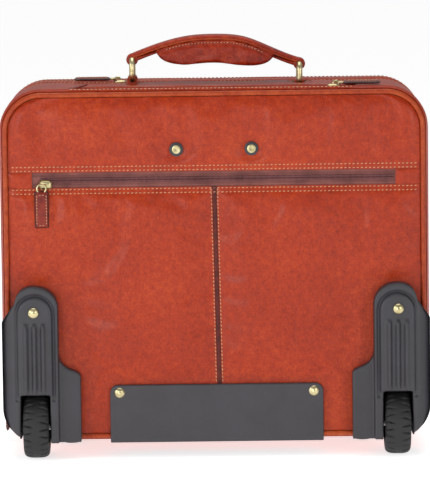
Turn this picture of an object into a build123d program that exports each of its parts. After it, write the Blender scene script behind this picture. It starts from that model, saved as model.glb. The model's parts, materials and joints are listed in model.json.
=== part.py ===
"""Rolling laptop case: leather body, two zipped compartments, wheels, telescopic trolley and carry handle.

Frame: millimetres, +Z up, +X across the width, -Y towards the rear (wheel) side.
The origin is on the ground under the middle of the case.
"""
from build123d import *
from math import cos, radians, sin
import os

# ---------------------------------------------------------------- driving dimensions
HALF_W = 212.0            # half the width of the leather body
TOP_Z = 369.0             # top of the leather body
BOTTOM_Z = 18.5           # underside of the leather body
TOP_R = 40.0              # upper corner radius of the outline
BOTTOM_R = 30.0           # lower corner radius of the outline
LEATHER = 3.0             # leather with its board and lining
BOARD = 2.0               # stiffener board

REAR_Y = -82.0            # outer face of the rear leather
TUB_D = 115.0             # depth of the fixed body
ZIP_D = 12.0              # width of a zip, both tapes
SECTION_D = 30.0          # depth of the front section's gusset
LID_D = 12.0              # depth of the front lid's gusset
POCKET_D = 5.0            # thickness of the front slip pocket
ZIP_GAP = 0.4             # gap between two halves of a zip
ZIP_START_Z = 48.0        # zips end here on the sides, below is a leather hinge

WHEEL_R = 32.0
WHEEL_W = 26.0
WHEEL_X = 181.3           # middle of the wheel's width
AXLE_R = 4.0
RUNNING = 0.05            # radial clearance of a turning fit
WELL_HALF_W = 14.75
WELL_TOP = 66.0
WELL_WALL = 2.5

TUBE_X = 58.0             # trolley tubes, either side of the middle
TROLLEY_D = 19.0          # depth of the trolley behind the rear face
SLOT_W = 20.0             # clear width of the trolley slot
SLOT_X0 = -140.0
SLOT_X1 = 104.0
SLOT_TAPE_X1 = 140.0
SLOT_MARGIN = 4.0         # tape seen round the slot
GRIP_W = 150.0
GRIP_T = 16.0
GRIP_H = 28.0
GRIP_TOP = 355.0
STAGE_FIT = 0.35          # gap between one trolley tube and the next

HANDLE_D = 93.0           # depth of the carry handle behind the rear face
RING_LEFT_X = -82.0
RING_RIGHT_X = 88.0
RING_H = 20.0             # between the middles of a ring's two bars
RING_W = 30.0
RING_BAR_R = 3.0
RING_LEFT_LOW = 6.0       # height of each ring's lower bar over the case top
RING_RIGHT_LOW = 0.0
STRAP_W = 26.0
STRAP_T = 5.0
EYE_R = 6.2

PIPING_R = 2.6
PIPING_INSET = 3.6
PANEL_INSET = 6.4

ZIP_LOW = 272.5           # rear pocket zip
ZIP_HIGH = 288.0
ZIP_X0 = -182.0
ZIP_X1 = 181.0
REAR_TAPE_IN = 0.6        # the rear zip's tape lies this far in from the leather's face
SEAM_W = 11.0             # rear centre strip

PULLER_W = 14.0
PULLER_L = 36.0
PULLER_T = 3.0
SLIDER_L = 12.0
SLIDER_W = 9.0
SLIDER_H = 3.6
SLIDER_LIFT = 0.3         # air between a slider and its tape
BRIDGE_W = 3.2            # the loop on a slider that holds the bail
BRIDGE_L = 3.2
BRIDGE_H = 3.6
BAIL_R = 1.2              # wire bail between a slider and its leather tab
BAIL_W = 9.6
BAIL_L = 9.0
BAIL_WIRE = 1.8

REAR_SLIDER_X = -172.5
REAR_SLIDER_Z = 280.3
TROLLEY_SLIDER_X = 120.0
MAIN_SLIDER_X = -95.0
MAIN_SIDE_Z = 58.0
LAPTOP_SIDE_Z = 62.0

SIDE_PANEL_T = 2.0
SIDE_PANEL_TOP = 266.0
SIDE_PANEL_LOW = 72.0
FOOT_X = 150.0
FOOT_R = 9.0
FRONT_POCKET_X = 165.0
FRONT_POCKET_H = 200.0
FRONT_POCKET_Z = 150.0
FRONT_POCKET_R = 18.0

SCREW_X = 37.5            # the two screws that hold the trolley's top bracket
SCREW_Z = 310.0
SCREW_R = 2.2
SCREW_HEAD_R = 4.2
WASHER_R = 7.0
WASHER_T = 1.8

SKID_W = 107.0            # half the width of the skid plate
SKID_Z0 = 15.5
SKID_Z1 = 74.0
SKID_T = 4.5
SKID_DEPTH = 45.0
SKID_R = 8.0

HOUSING_LOW = 17.5        # underside of a wheel housing
ARCH_X = 180.0            # middle, radius and top of a housing's arch
ARCH_R = 22.5
ARCH_TOP = 175.0
SHOULDER_X = 201.0        # where the arch meets the sloped outer shoulder
SHOULDER_Z = 158.0
FLANGE_X = 136.0          # inner edge of a housing's flange
FLANGE_TOP = 84.0
WRAP_TOP = 140.0          # the wrap round the case's side
WRAP_LOW = 52.0
TOE_X = 193.0             # the outer foot sweeps in to here
TOE_Z = 22.0
RAISED_T = 1.2            # the raised arch panel and its ribs
RAISED_W = 34.0
RAISED_LOW = 66.5
RAISED_MID_H = 40.5
RAISED_R = 17.0
RIB_R = 2.0
RIB_L = 70.0
RIB_PITCH = 8.7
RIB_Z = 102.0
RIVET_HOUSING_X = 182.0
RIVET_HOUSING_Z = 149.5
RIVET_SHANK_R = 1.6
RIVET_HEAD_R = 5.2
RIVET_SKID_X = 97.5
RIVET_SKID_Z = 66.0

HUB_R = 23.0
BEARING_R = 9.5
BEARING_T = 6.0
TYRE_SHOULDER_R = 9.0

TUBE_WALL = 1.2
TUBE_R = 3.0
OUTER_TUBE = (22.0, 15.0)
TUBE_Z0 = 34.0
TUBE_Z1 = 324.0
BRACKET_SIDE = 15.0       # how far a bracket reaches past a tube's middle
BRACKET_H = 26.0
BUTTON_W = 26.0
BUTTON_T = 9.0
BUTTON_DEEP = 9.0

HANDLE_TOP = 420.0
PAD_HALF = 64.0           # half the length of the padded grip
PAD_DROP = 29.5           # depth of the grip's middle under the strap's crown
PAD_W = 28.0
EYE_W = 16.0
BASE_X = 12.0
BASE_Y = 22.0
BASE_T = 1.0
SLEEVE_R = 5.2
SLEEVE_W = 14.0
RING_ROOM = 4.0           # room either side of a ring's bars as it swings

# ---------------------------------------------------------------- derived dimensions
MAIN_ZIP_Y = REAR_Y + TUB_D + ZIP_D / 2
SECTION_Y0 = REAR_Y + TUB_D + ZIP_D
SECTION_Y1 = SECTION_Y0 + SECTION_D
LAPTOP_ZIP_Y = SECTION_Y1 + ZIP_D / 2
LID_Y0 = SECTION_Y1 + ZIP_D
LID_Y1 = LID_Y0 + LID_D
FRONT_Y = LID_Y1 + LEATHER
TUB_Y0 = REAR_Y + 2.0
TUB_Y1 = REAR_Y + TUB_D
BOARD_Y0 = REAR_Y + LEATHER
TROLLEY_Y = REAR_Y + TROLLEY_D
HANDLE_Y = REAR_Y + HANDLE_D
WHEEL_Y = REAR_Y - 25.0 + WHEEL_R
WELL_Y1 = WHEEL_Y + WHEEL_R + 3.0
HOUSING_Y = REAR_Y - 18.0
HOUSING_WRAP_Y = REAR_Y + 36.0
FOOT_Y = MAIN_ZIP_Y - 16.0
WALL_Y0 = TROLLEY_Y + SLOT_W / 2 + 7.0
TAPE_INSET = 0.8
TAPE_T = 2.0
TAPE_TOP = TOP_Z - TAPE_INSET
PIVOT = (SLIDER_L / 2 - 1.8, 0, SLIDER_LIFT + SLIDER_H + 1.7)   # a bail's pin, from its slider's middle
SIDES = (("left", -1), ("right", 1))

NODES = {}


# ---------------------------------------------------------------- helpers
def block(x, y, z):
    """A box from three (low, high) pairs."""
    size = [max(p) - min(p) for p in (x, y, z)]
    middle = [(p[0] + p[1]) / 2 for p in (x, y, z)]
    return Pos(*middle) * Box(*size)


def along_y(sketch, y0, y1):
    """Extrude a sketch, drawn as (x, z), from y0 to y1."""
    return extrude(Plane.XZ.offset(-y1) * sketch, y1 - y0)


def outline(inset):
    """The case's rounded outline in (x, z), brought in by an inset."""
    height = TOP_Z - BOTTOM_Z - 2 * inset
    shape = Pos(0, (TOP_Z + BOTTOM_Z) / 2) * Rectangle(2 * (HALF_W - inset), height)
    shape = fillet(shape.vertices().group_by(Axis.Y)[-1], TOP_R - inset)
    return fillet(shape.vertices().sort_by(Axis.Y)[0:2], BOTTOM_R - inset)


def slab(inset, y0, y1):
    """A plate with the case's outline."""
    return along_y(outline(inset), y0, y1)


def ring(inset, wall, y0, y1):
    """A gusset ring: the outline with a wall's thickness."""
    return along_y(outline(inset) - outline(inset + wall), y0, y1)


def half_space(z0, z1):
    """Everything between two heights."""
    return block((-300, 300), (-200, 200), (z0, z1))


def across(x, y, z, radius, length):
    """A cylinder along X."""
    return Pos(x, y, z) * Rot(0, 90, 0) * Cylinder(radius, length)


def deep(x, y, z, radius, length):
    """A cylinder along Y."""
    return Pos(x, y, z) * Rot(90, 0, 0) * Cylinder(radius, length)


def solids_of(*shapes):
    """Several separate solids as one node."""
    found = []
    for shape in shapes:
        found.extend(shape.solids())
    return Compound(children=found)


def well(margin):
    """Both wheel wells, as cutters grown by a margin."""
    cutters = []
    for _, side in SIDES:
        x = sorted((side * (WHEEL_X - WELL_HALF_W - margin), side * (HALF_W + 5)))
        if margin == 0:
            x = sorted((side * (WHEEL_X - WELL_HALF_W), side * (WHEEL_X + WELL_HALF_W)))
        cutters.append(block(x, (REAR_Y - 40, WELL_Y1 + margin), (-5, WELL_TOP + margin)))
    return cutters[0] + cutters[1]


WELL_CUT = well(WELL_WALL)
SKID_CUT = block((-SKID_W, SKID_W), (REAR_Y - SKID_T, REAR_Y), (SKID_Z0, SKID_Z1))


# ---------------------------------------------------------------- rear face
def make_rear():
    """Leather panels, pocket zip, seam strip, board and piping of the rear face."""
    leather = slab(PANEL_INSET, REAR_Y, REAR_Y + LEATHER) - WELL_CUT
    holes = [deep(side * SCREW_X, REAR_Y, SCREW_Z, SCREW_R, 60) for _, side in SIDES]
    upper = leather & half_space(ZIP_HIGH, TOP_Z)
    NODES["rear_upper_panel"] = upper - holes[0] - holes[1]
    for name, side in SIDES:
        x = sorted((side * SEAM_W / 2, side * 300))
        half = block(x, (-200, 0), (0, ZIP_LOW))
        NODES["rear_lower_panel_" + name] = leather & half
    NODES["rear_centre_strip"] = leather & block((-SEAM_W / 2, SEAM_W / 2), (-200, 0), (0, ZIP_LOW))

    band = leather & half_space(ZIP_LOW, ZIP_HIGH)
    middle = block((ZIP_X0, ZIP_X1), (-200, 0), (0, TOP_Z))
    NODES["rear_zip_end_patches"] = band - middle
    NODES["rear_zip_tape"] = block((ZIP_X0, ZIP_X1), (REAR_Y + REAR_TAPE_IN, REAR_Y + LEATHER),
                                   (ZIP_LOW, ZIP_HIGH))

    board = slab(PANEL_INSET, BOARD_Y0, BOARD_Y0 + BOARD) - WELL_CUT
    NODES["rear_board"] = board - holes[0] - holes[1]
    welt = piping(REAR_Y - REAR_TAPE_IN) - WELL_CUT - SKID_CUT
    NODES["rear_piping"] = welt - housing_block(-1) - housing_block(1)


def piping(y):
    """The welt round an edge of the case: a tube along the outline."""
    path = (Plane.XZ.offset(-y) * outline(PIPING_INSET)).wires()[0]
    start = path @ 0
    section = Plane(origin=start, z_dir=path % 0) * Circle(PIPING_R)
    return sweep(section, path=path)


# ---------------------------------------------------------------- tub
def make_tub():
    """Gussets, bottom panel, side panels, zip tapes, inner wall and feet of the fixed body."""
    hinge = ring(0, LEATHER, TUB_Y1, MAIN_ZIP_Y - ZIP_GAP / 2) & half_space(0, ZIP_START_Z)
    shell = ring(0, LEATHER, TUB_Y0, TUB_Y1)
    upper_join = TOP_Z - TOP_R
    lower_join = BOTTOM_Z + BOTTOM_R
    half_tape = SLOT_W / 2 + SLOT_MARGIN
    window = block((SLOT_X0 - SLOT_MARGIN, SLOT_TAPE_X1), (TROLLEY_Y - half_tape, TROLLEY_Y + half_tape),
                   (TOP_Z - 10, TOP_Z + 10))
    top = (shell & half_space(upper_join, TOP_Z)) - window
    for x in (RING_LEFT_X, RING_RIGHT_X):
        top -= block((x - BASE_X, x + BASE_X), (HANDLE_Y - BASE_Y, HANDLE_Y + BASE_Y),
                     (TOP_Z - 10, TOP_Z + 10))
    NODES["top_gusset"] = top
    sides = (shell & half_space(lower_join, upper_join)) - WELL_CUT
    for name, side in SIDES:
        NODES["side_gusset_" + name] = sides & block(sorted((0, side * 300)), (-200, 200), (0, TOP_Z))
    NODES["bottom_panel"] = ((shell & half_space(0, lower_join)) + hinge) - WELL_CUT

    panels = []
    for _, side in SIDES:
        panels.append(block(sorted((side * HALF_W, side * (HALF_W + SIDE_PANEL_T))),
                            (HOUSING_WRAP_Y + 2, TUB_Y1 - 6), (SIDE_PANEL_LOW, SIDE_PANEL_TOP)))
    NODES["side_panels"] = solids_of(*panels)

    tape = ring(TAPE_INSET, TAPE_T, TUB_Y1, MAIN_ZIP_Y - ZIP_GAP / 2)
    NODES["main_zip_tape_rear"] = tape & half_space(ZIP_START_Z, TOP_Z)
    slot = block((SLOT_X0, SLOT_X1), (TROLLEY_Y - SLOT_W / 2, TROLLEY_Y + SLOT_W / 2),
                 (TOP_Z - 10, TOP_Z + 10))
    NODES["trolley_zip_tape"] = (window & half_space(TOP_Z - LEATHER, TAPE_TOP)) - slot

    wall = slab(LEATHER, WALL_Y0, WALL_Y0 + BOARD)
    NODES["chamber_wall"] = wall - WELL_CUT

    feet = []
    for _, side in SIDES:
        foot = Pos(side * FOOT_X, FOOT_Y, BOTTOM_Z / 2) * Cylinder(FOOT_R, BOTTOM_Z)
        feet.append(chamfer(foot.edges().group_by(Axis.Z)[0], 1.5))
    NODES["front_feet"] = solids_of(*feet)


# ---------------------------------------------------------------- wheel housings, wheels, skid plate
def housing_outline(side):
    """Rear view of a housing in (x, z): an arch, an S-curve to a flange, and a swept-in outer foot."""
    inner = ARCH_X - ARCH_R
    arch_z = ARCH_TOP - ARCH_R
    outer = HALF_W + SIDE_PANEL_T
    turn = (ARCH_X - ARCH_R * sin(radians(45)), arch_z + ARCH_R * cos(radians(45)))
    neck_z = FLANGE_TOP + 22
    with BuildLine() as line:
        Line((FLANGE_X, HOUSING_LOW), (FLANGE_X, FLANGE_TOP))
        Spline((FLANGE_X, FLANGE_TOP), (FLANGE_X + 10, FLANGE_TOP + 7), (inner, neck_z),
               tangents=((0.3, 1), (0.05, 1)))
        Line((inner, neck_z), (inner, arch_z))
        ThreePointArc((inner, arch_z), turn, (ARCH_X, ARCH_TOP))
        ThreePointArc((ARCH_X, ARCH_TOP), (ARCH_X + 14, arch_z + ARCH_R * 0.85), (SHOULDER_X, SHOULDER_Z))
        Line((SHOULDER_X, SHOULDER_Z), (outer, WRAP_TOP))
        Line((outer, WRAP_TOP), (outer, WRAP_LOW))
        ThreePointArc((outer, WRAP_LOW), (outer - 6, WRAP_LOW - 18), (TOE_X, TOE_Z))
        Line((TOE_X, TOE_Z), (TOE_X, HOUSING_LOW))
        Line((TOE_X, HOUSING_LOW), (FLANGE_X, HOUSING_LOW))
    face = make_face(line.line)
    return face if side > 0 else mirror(face, Plane.YZ)


def housing_block(side):
    """The housing's whole envelope in front of the rear face."""
    return along_y(housing_outline(side), HOUSING_Y, REAR_Y)


def make_housings():
    """Moulded housings with a wheel well, a side wrap, a raised arch panel and three ribs."""
    for name, side in SIDES:
        reach = WELL_HALF_W + WELL_WALL
        walls_x = sorted((side * (WHEEL_X - reach), side * (WHEEL_X + reach)))
        box = block(walls_x, (REAR_Y, WELL_Y1 + WELL_WALL), (BOTTOM_Z + 1, WELL_TOP + WELL_WALL))
        wrap_x = sorted((side * HALF_W, side * (HALF_W + SIDE_PANEL_T)))
        wrap = block(wrap_x, (REAR_Y, HOUSING_WRAP_Y), (WRAP_LOW, WRAP_TOP))
        corner_x = sorted((side * (HALF_W - 12), side * HALF_W))
        link = block(corner_x, (REAR_Y - 4, REAR_Y), (WRAP_LOW + 8, WRAP_TOP))
        raised_z = RAISED_LOW + RAISED_MID_H
        panel = Pos(0, raised_z) * Rectangle(RAISED_W, 2 * RAISED_MID_H)
        panel += Pos(0, raised_z + RAISED_MID_H) * Circle(RAISED_R)
        raised = along_y(Pos(side * (RIVET_HOUSING_X - 1), 0) * panel, HOUSING_Y - RAISED_T, HOUSING_Y)
        ribs = []
        for step in (-1, 0, 1):
            rib_x = side * RIVET_HOUSING_X + step * RIB_PITCH
            ribs.append(Pos(rib_x, HOUSING_Y - RAISED_T, RIB_Z) * Cylinder(RIB_R, RIB_L))
        cavity_x = sorted((side * (WHEEL_X - WELL_HALF_W), side * (WHEEL_X + WELL_HALF_W)))
        cavity = block(cavity_x, (HOUSING_Y - 10, WELL_Y1), (-5, WELL_TOP))
        toe_z = (HOUSING_LOW + WELL_TOP + WELL_WALL) / 2
        toe = Pos(side * (HALF_W - 2), toe_z) * Rectangle(28, WELL_TOP + WELL_WALL - HOUSING_LOW)
        toe = along_y(housing_outline(side) & toe, REAR_Y, WELL_Y1 + WELL_WALL)
        body = housing_block(side) + box + wrap + toe + link + raised
        for rib in ribs:
            body += rib
        body -= cavity
        body -= across(side * WHEEL_X, WHEEL_Y, WHEEL_R, AXLE_R, 60)
        body -= deep(side * RIVET_HOUSING_X, HOUSING_Y, RIVET_HOUSING_Z, RIVET_SHANK_R, 16)
        NODES["wheel_housing_" + name] = body


def make_skid():
    """The plate that guards the rear bottom edge, and the brass rivets."""
    back = along_y(Pos(0, (SKID_Z0 + SKID_Z1) / 2) * Rectangle(2 * SKID_W, SKID_Z1 - SKID_Z0),
                   REAR_Y - SKID_T, REAR_Y)
    back = fillet(back.edges().filter_by(Axis.Y).group_by(Axis.Z)[-1], SKID_R)
    under = block((-SKID_W, SKID_W), (REAR_Y, REAR_Y + SKID_DEPTH), (SKID_Z0, BOTTOM_Z))
    plate = back + under
    shanks = [deep(side * RIVET_SKID_X, REAR_Y, RIVET_SKID_Z, RIVET_SHANK_R, 30) for _, side in SIDES]
    NODES["skid_plate"] = plate - shanks[0] - shanks[1]

    rivets = []
    for _, side in SIDES:
        rivets.append(rivet(side * RIVET_SKID_X, REAR_Y - SKID_T, RIVET_SKID_Z, SKID_T - 0.5))
        rivets.append(rivet(side * RIVET_HOUSING_X, HOUSING_Y - RAISED_T - RIB_R, RIVET_HOUSING_Z, 6.0))
    NODES["brass_rivets"] = solids_of(*rivets)


def rivet(x, y, z, shank):
    """A low domed head on a shank, facing the rear."""
    head = Sphere(RIVET_HEAD_R * 1.4) & Pos(0, 0, RIVET_HEAD_R * 1.4) * Box(40, 40, 2 * 2.1)
    low = head.bounding_box().min.Z
    head = Pos(0, 0, -low) * head
    stem = Pos(0, 0, -shank / 2) * Cylinder(RIVET_SHANK_R, shank)
    return Pos(x, y, z) * Rot(90, 0, 0) * (head + stem)


def make_wheels():
    """Tyre, hub and bearings of each wheel, and the fixed axles."""
    axles = []
    for name, side in SIDES:
        x = side * WHEEL_X
        tyre = across(x, WHEEL_Y, WHEEL_R, WHEEL_R, WHEEL_W)
        tyre = fillet(tyre.edges().filter_by(GeomType.CIRCLE), TYRE_SHOULDER_R)
        NODES["tyre_" + name] = tyre - across(x, WHEEL_Y, WHEEL_R, HUB_R, WHEEL_W + 2)
        hub = across(x, WHEEL_Y, WHEEL_R, HUB_R, WHEEL_W - 3)
        hub -= across(x, WHEEL_Y, WHEEL_R, BEARING_R, WHEEL_W)
        NODES["hub_" + name] = hub
        pair = []
        for end in (-1, 1):
            bearing = across(x + end * (WHEEL_W / 2 - 4.5), WHEEL_Y, WHEEL_R, BEARING_R, BEARING_T)
            pair.append(bearing - across(x, WHEEL_Y, WHEEL_R, AXLE_R + RUNNING, 60))
        NODES["bearings_" + name] = solids_of(*pair)
        axles.append(across(x, WHEEL_Y, WHEEL_R, AXLE_R, 2 * (WELL_HALF_W + WELL_WALL)))
    NODES["wheel_axles"] = solids_of(*axles)


# ---------------------------------------------------------------- trolley
def tube_size(stage):
    """Width and depth of a trolley tube: each stage slides inside the one before."""
    step = 2 * (TUBE_WALL + STAGE_FIT) * stage
    return OUTER_TUBE[0] - step, OUTER_TUBE[1] - step


def tubes(stage, z0, z1):
    """Both rectangular tubes of one stage."""
    width, depth = tube_size(stage)
    pair = []
    for _, side in SIDES:
        profile = RectangleRounded(width, depth, TUBE_R)
        inside = RectangleRounded(width - 2 * TUBE_WALL, depth - 2 * TUBE_WALL, TUBE_R - TUBE_WALL)
        pair.append(Pos(side * TUBE_X, TROLLEY_Y, z0) * extrude(profile - inside, z1 - z0))
    return pair


def tube_cut(z0, z1):
    """The outer tubes' full outline, for the holes that hold them."""
    cuts = [Pos(side * TUBE_X, TROLLEY_Y, z0) * extrude(RectangleRounded(*OUTER_TUBE, TUBE_R), z1 - z0)
            for _, side in SIDES]
    return cuts[0] + cuts[1]


def make_trolley():
    """Three nested stages, the brackets that hold the outer tubes, the grip and its button."""
    NODES["trolley_outer_tubes"] = solids_of(*tubes(0, TUBE_Z0, TUBE_Z1))
    NODES["trolley_middle_tubes"] = solids_of(*tubes(1, TUBE_Z0 + 2, TUBE_Z1 + 1))
    NODES["trolley_inner_tubes"] = solids_of(*tubes(2, TUBE_Z0 + 4, GRIP_TOP - GRIP_H))

    y0 = BOARD_Y0 + BOARD
    front = TROLLEY_Y + OUTER_TUBE[1] / 2 + 2
    wide = (-TUBE_X - BRACKET_SIDE, TUBE_X + BRACKET_SIDE)
    top = block(wide, (y0, front), (SCREW_Z - BRACKET_H / 2, SCREW_Z + BRACKET_H / 2))
    top -= tube_cut(TUBE_Z0, TUBE_Z1)
    for _, side in SIDES:
        top -= deep(side * SCREW_X, y0, SCREW_Z, SCREW_R, 20)
    foot = block(wide, (y0, front), (BOTTOM_Z + LEATHER, TUBE_Z0 + BRACKET_H / 2))
    NODES["trolley_brackets"] = solids_of(top, foot - tube_cut(TUBE_Z0, TUBE_Z1))

    grip = block((-GRIP_W / 2, GRIP_W / 2), (TROLLEY_Y - GRIP_T / 2, TROLLEY_Y + GRIP_T / 2),
                 (GRIP_TOP - GRIP_H, GRIP_TOP))
    grip = fillet(grip.edges().filter_by(Axis.Y), 9)
    half_w = BUTTON_W / 2
    half_t = BUTTON_T / 2
    pocket = block((-half_w - 0.3, half_w + 0.3), (TROLLEY_Y - half_t - 0.3, TROLLEY_Y + half_t + 0.3),
                   (GRIP_TOP - BUTTON_DEEP, GRIP_TOP + 1))
    NODES["trolley_grip"] = grip - pocket
    NODES["release_button"] = block((-half_w, half_w), (TROLLEY_Y - half_t, TROLLEY_Y + half_t),
                                    (GRIP_TOP - 5, GRIP_TOP + 2))
    make_screws()


def make_screws():
    """The cross-slotted screws of the top bracket, each with a dished washer."""
    screws = []
    washers = []
    for _, side in SIDES:
        x = side * SCREW_X
        washer = deep(x, REAR_Y - WASHER_T / 2, SCREW_Z, WASHER_R, WASHER_T)
        washer -= deep(x, REAR_Y, SCREW_Z, SCREW_R, 30)
        washers.append(washer)
        head = deep(x, REAR_Y - WASHER_T - 1.0, SCREW_Z, SCREW_HEAD_R, 2.0)
        shank = deep(x, REAR_Y + 5.0, SCREW_Z, SCREW_R, 14.0)
        slots = block((x - 2.6, x + 2.6), (REAR_Y - 5, REAR_Y - 3), (SCREW_Z - 0.4, SCREW_Z + 0.4))
        slots += block((x - 0.4, x + 0.4), (REAR_Y - 5, REAR_Y - 3), (SCREW_Z - 2.6, SCREW_Z + 2.6))
        screws.append(head + shank - slots)
    NODES["bracket_screws"] = solids_of(*screws)
    NODES["screw_washers"] = solids_of(*washers)


# ---------------------------------------------------------------- carry handle
def make_handle():
    """Two rectangular rings on base loops, and the strap and grip that hang on the rings' top bars."""
    bases = []
    pivots = {}
    for name, x, low in (("left", RING_LEFT_X, RING_LEFT_LOW), ("right", RING_RIGHT_X, RING_RIGHT_LOW)):
        pivot_z = TOP_Z + low
        pivots[name] = (x, pivot_z + RING_H)
        loop = RectangleRounded(RING_H, RING_W, 2 * RING_BAR_R)
        wire = Pos(x, HANDLE_Y, pivot_z + RING_H / 2) * Rot(0, 90, 0) * loop.wires()[0]
        section = Plane(origin=wire @ 0, z_dir=wire % 0) * Circle(RING_BAR_R)
        NODES["handle_ring_" + name] = sweep(section, path=wire)
        plate = block((x - BASE_X, x + BASE_X), (HANDLE_Y - BASE_Y, HANDLE_Y + BASE_Y),
                      (TOP_Z - LEATHER, TOP_Z + BASE_T))
        sleeve = deep(x, HANDLE_Y, pivot_z, SLEEVE_R, SLEEVE_W)
        sleeve += block((x - SLEEVE_R, x + SLEEVE_R), (HANDLE_Y - SLEEVE_W / 2, HANDLE_Y + SLEEVE_W / 2),
                        (TOP_Z - LEATHER, pivot_z))
        base = plate + sleeve - deep(x, HANDLE_Y, pivot_z, RING_BAR_R + RUNNING, 60)
        room_x = (x - RING_BAR_R - RING_ROOM, x + RING_BAR_R + RING_ROOM)
        for end in (-1, 1):
            inner_y = HANDLE_Y + end * (SLEEVE_W / 2 + 0.01)
            outer_y = HANDLE_Y + end * (RING_W / 2 + RING_BAR_R + 0.8)
            base -= block(room_x, sorted((inner_y, outer_y)), (TOP_Z - 20, TOP_Z + 3))
        bases.append(base)
    NODES["handle_bases"] = solids_of(*bases)

    NODES["carry_handle_strap"] = make_strap(pivots["left"], pivots["right"])
    NODES["carry_handle_pad"] = make_pad(pivots["left"], pivots["right"])


def make_strap(left, right):
    """The strap, with a bored eye round each ring's top bar."""
    with BuildLine() as line:
        upper = strap_edge(left, right, 0)
        lower = strap_edge(left, right, STRAP_T)
        Line(upper @ 1, lower @ 1)
        Line(lower @ 0, upper @ 0)
    strap = along_y(make_face(line.line), HANDLE_Y - STRAP_W / 2, HANDLE_Y + STRAP_W / 2)
    for x, z in (left, right):
        strap += deep(x, HANDLE_Y, z, EYE_R, EYE_W)
    for x, z in (left, right):
        strap -= deep(x, HANDLE_Y, z, RING_BAR_R + RUNNING, 60)
        for end in (-1, 1):
            y = sorted((HANDLE_Y + end * EYE_W / 2, HANDLE_Y + end * 30))
            strap -= block((x - 14, x + 14), y, (z - 20, z + RING_BAR_R + 1.0))
    return strap


def make_pad(left, right):
    """The padded grip: a nearly straight underside that thins out under the strap at both ends."""
    middle = (left[0] + right[0]) / 2
    apex = HANDLE_TOP
    with BuildLine() as line:
        Spline((middle - PAD_HALF, apex - 12), (middle - PAD_HALF + 6, apex - 22), (middle, apex - PAD_DROP),
               (middle + PAD_HALF - 6, apex - 25), (middle + PAD_HALF, apex - 14))
        Line((middle + PAD_HALF, apex - 14), (middle + 20, apex - 2))
        Line((middle + 20, apex - 2), (middle - 20, apex - 2))
        Line((middle - 20, apex - 2), (middle - PAD_HALF, apex - 12))
    pad = along_y(make_face(line.line), HANDLE_Y - PAD_W / 2, HANDLE_Y + PAD_W / 2)
    return pad - wide_band(left, right)


def strap_edge(left, right, drop):
    """One long edge of the strap in (x, z): a flat crown that falls to both rings."""
    apex = HANDLE_TOP - drop
    middle = (left[0] + right[0]) / 2
    rise = EYE_R - 0.4 - drop
    return Spline((left[0] - 2, left[1] + rise), (left[0] + 27, apex - 8.6), (middle - 26, apex - 1.2),
                  (middle, apex), (middle + 28, apex - 2.6), (right[0] - 34, apex - 11.2),
                  (right[0] + 2, right[1] + rise))


def wide_band(left, right):
    """All the space above the strap's lower edge, to shape the pad under it."""
    with BuildLine() as line:
        lower = strap_edge(left, right, STRAP_T)
        top = HANDLE_TOP + 30
        Line(lower @ 1, (right[0] + 2, top))
        Line((right[0] + 2, top), (left[0] - 2, top))
        Line((left[0] - 2, top), lower @ 0)
    return along_y(make_face(line.line), HANDLE_Y - 40, HANDLE_Y + 40)


# ---------------------------------------------------------------- front section and lid
def make_front():
    """The front section with its divider, and the front lid with its panel, piping and pocket."""
    low = half_space(0, ZIP_START_Z)
    high = half_space(ZIP_START_Z, TOP_Z)
    shell = ring(0, LEATHER, SECTION_Y0, SECTION_Y1)
    shell += ring(0, LEATHER, MAIN_ZIP_Y + ZIP_GAP / 2, SECTION_Y0) & low
    shell += ring(0, LEATHER, SECTION_Y1, LAPTOP_ZIP_Y - ZIP_GAP / 2) & low
    NODES["front_section_gusset"] = shell
    NODES["divider"] = slab(LEATHER, SECTION_Y0, SECTION_Y0 + BOARD)
    NODES["main_zip_tape_front"] = ring(TAPE_INSET, TAPE_T, MAIN_ZIP_Y + ZIP_GAP / 2, SECTION_Y0) & high
    NODES["laptop_zip_tape_rear"] = ring(TAPE_INSET, TAPE_T, SECTION_Y1, LAPTOP_ZIP_Y - ZIP_GAP / 2) & high

    lid = ring(0, LEATHER, LID_Y0, LID_Y1)
    lid += ring(0, LEATHER, LAPTOP_ZIP_Y + ZIP_GAP / 2, LID_Y0) & low
    NODES["front_lid_gusset"] = lid
    NODES["laptop_zip_tape_front"] = ring(TAPE_INSET, TAPE_T, LAPTOP_ZIP_Y + ZIP_GAP / 2, LID_Y0) & high
    NODES["front_panel"] = slab(PANEL_INSET, LID_Y1, FRONT_Y)
    NODES["front_piping"] = piping(LID_Y1 + PIPING_R)
    pocket = Pos(0, FRONT_POCKET_Z) * RectangleRounded(2 * FRONT_POCKET_X, FRONT_POCKET_H, FRONT_POCKET_R)
    NODES["front_pocket"] = along_y(pocket, FRONT_Y, FRONT_Y + POCKET_D)


# ---------------------------------------------------------------- zip sliders and pullers
def slider():
    """A slider on its tape at z = 0, its bail's pivot along Y at the +X end."""
    body = extrude(RectangleRounded(SLIDER_L, SLIDER_W, 3), SLIDER_H)
    bridge = block((PIVOT[0] - BRIDGE_L / 2, PIVOT[0] + BRIDGE_L / 2), (-BRIDGE_W / 2, BRIDGE_W / 2),
                   (SLIDER_H, SLIDER_H + BRIDGE_H))
    shape = Pos(0, 0, SLIDER_LIFT) * (body + bridge)
    return shape - deep(PIVOT[0], 0, PIVOT[2], BAIL_R + 2 * RUNNING, 20)


def puller():
    """A wire bail through the slider's bridge with a leather tab, lying towards +X."""
    frame = block((-BAIL_R, BAIL_L), (-BAIL_W / 2, BAIL_W / 2), (-1, 1))
    inside = BAIL_W / 2 - BAIL_WIRE
    frame -= block((-2 * BAIL_R, BAIL_L - BAIL_WIRE), (-inside, inside), (-2, 2))
    tab = extrude(RectangleRounded(PULLER_L, PULLER_W, 3), PULLER_T)
    tab = Pos(BAIL_L - 2.4 + PULLER_L / 2, 0, -PULLER_T / 2) * tab
    shape = deep(0, 0, 0, BAIL_R, BAIL_W) + frame + tab
    return Pos(*PIVOT) * shape


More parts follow.
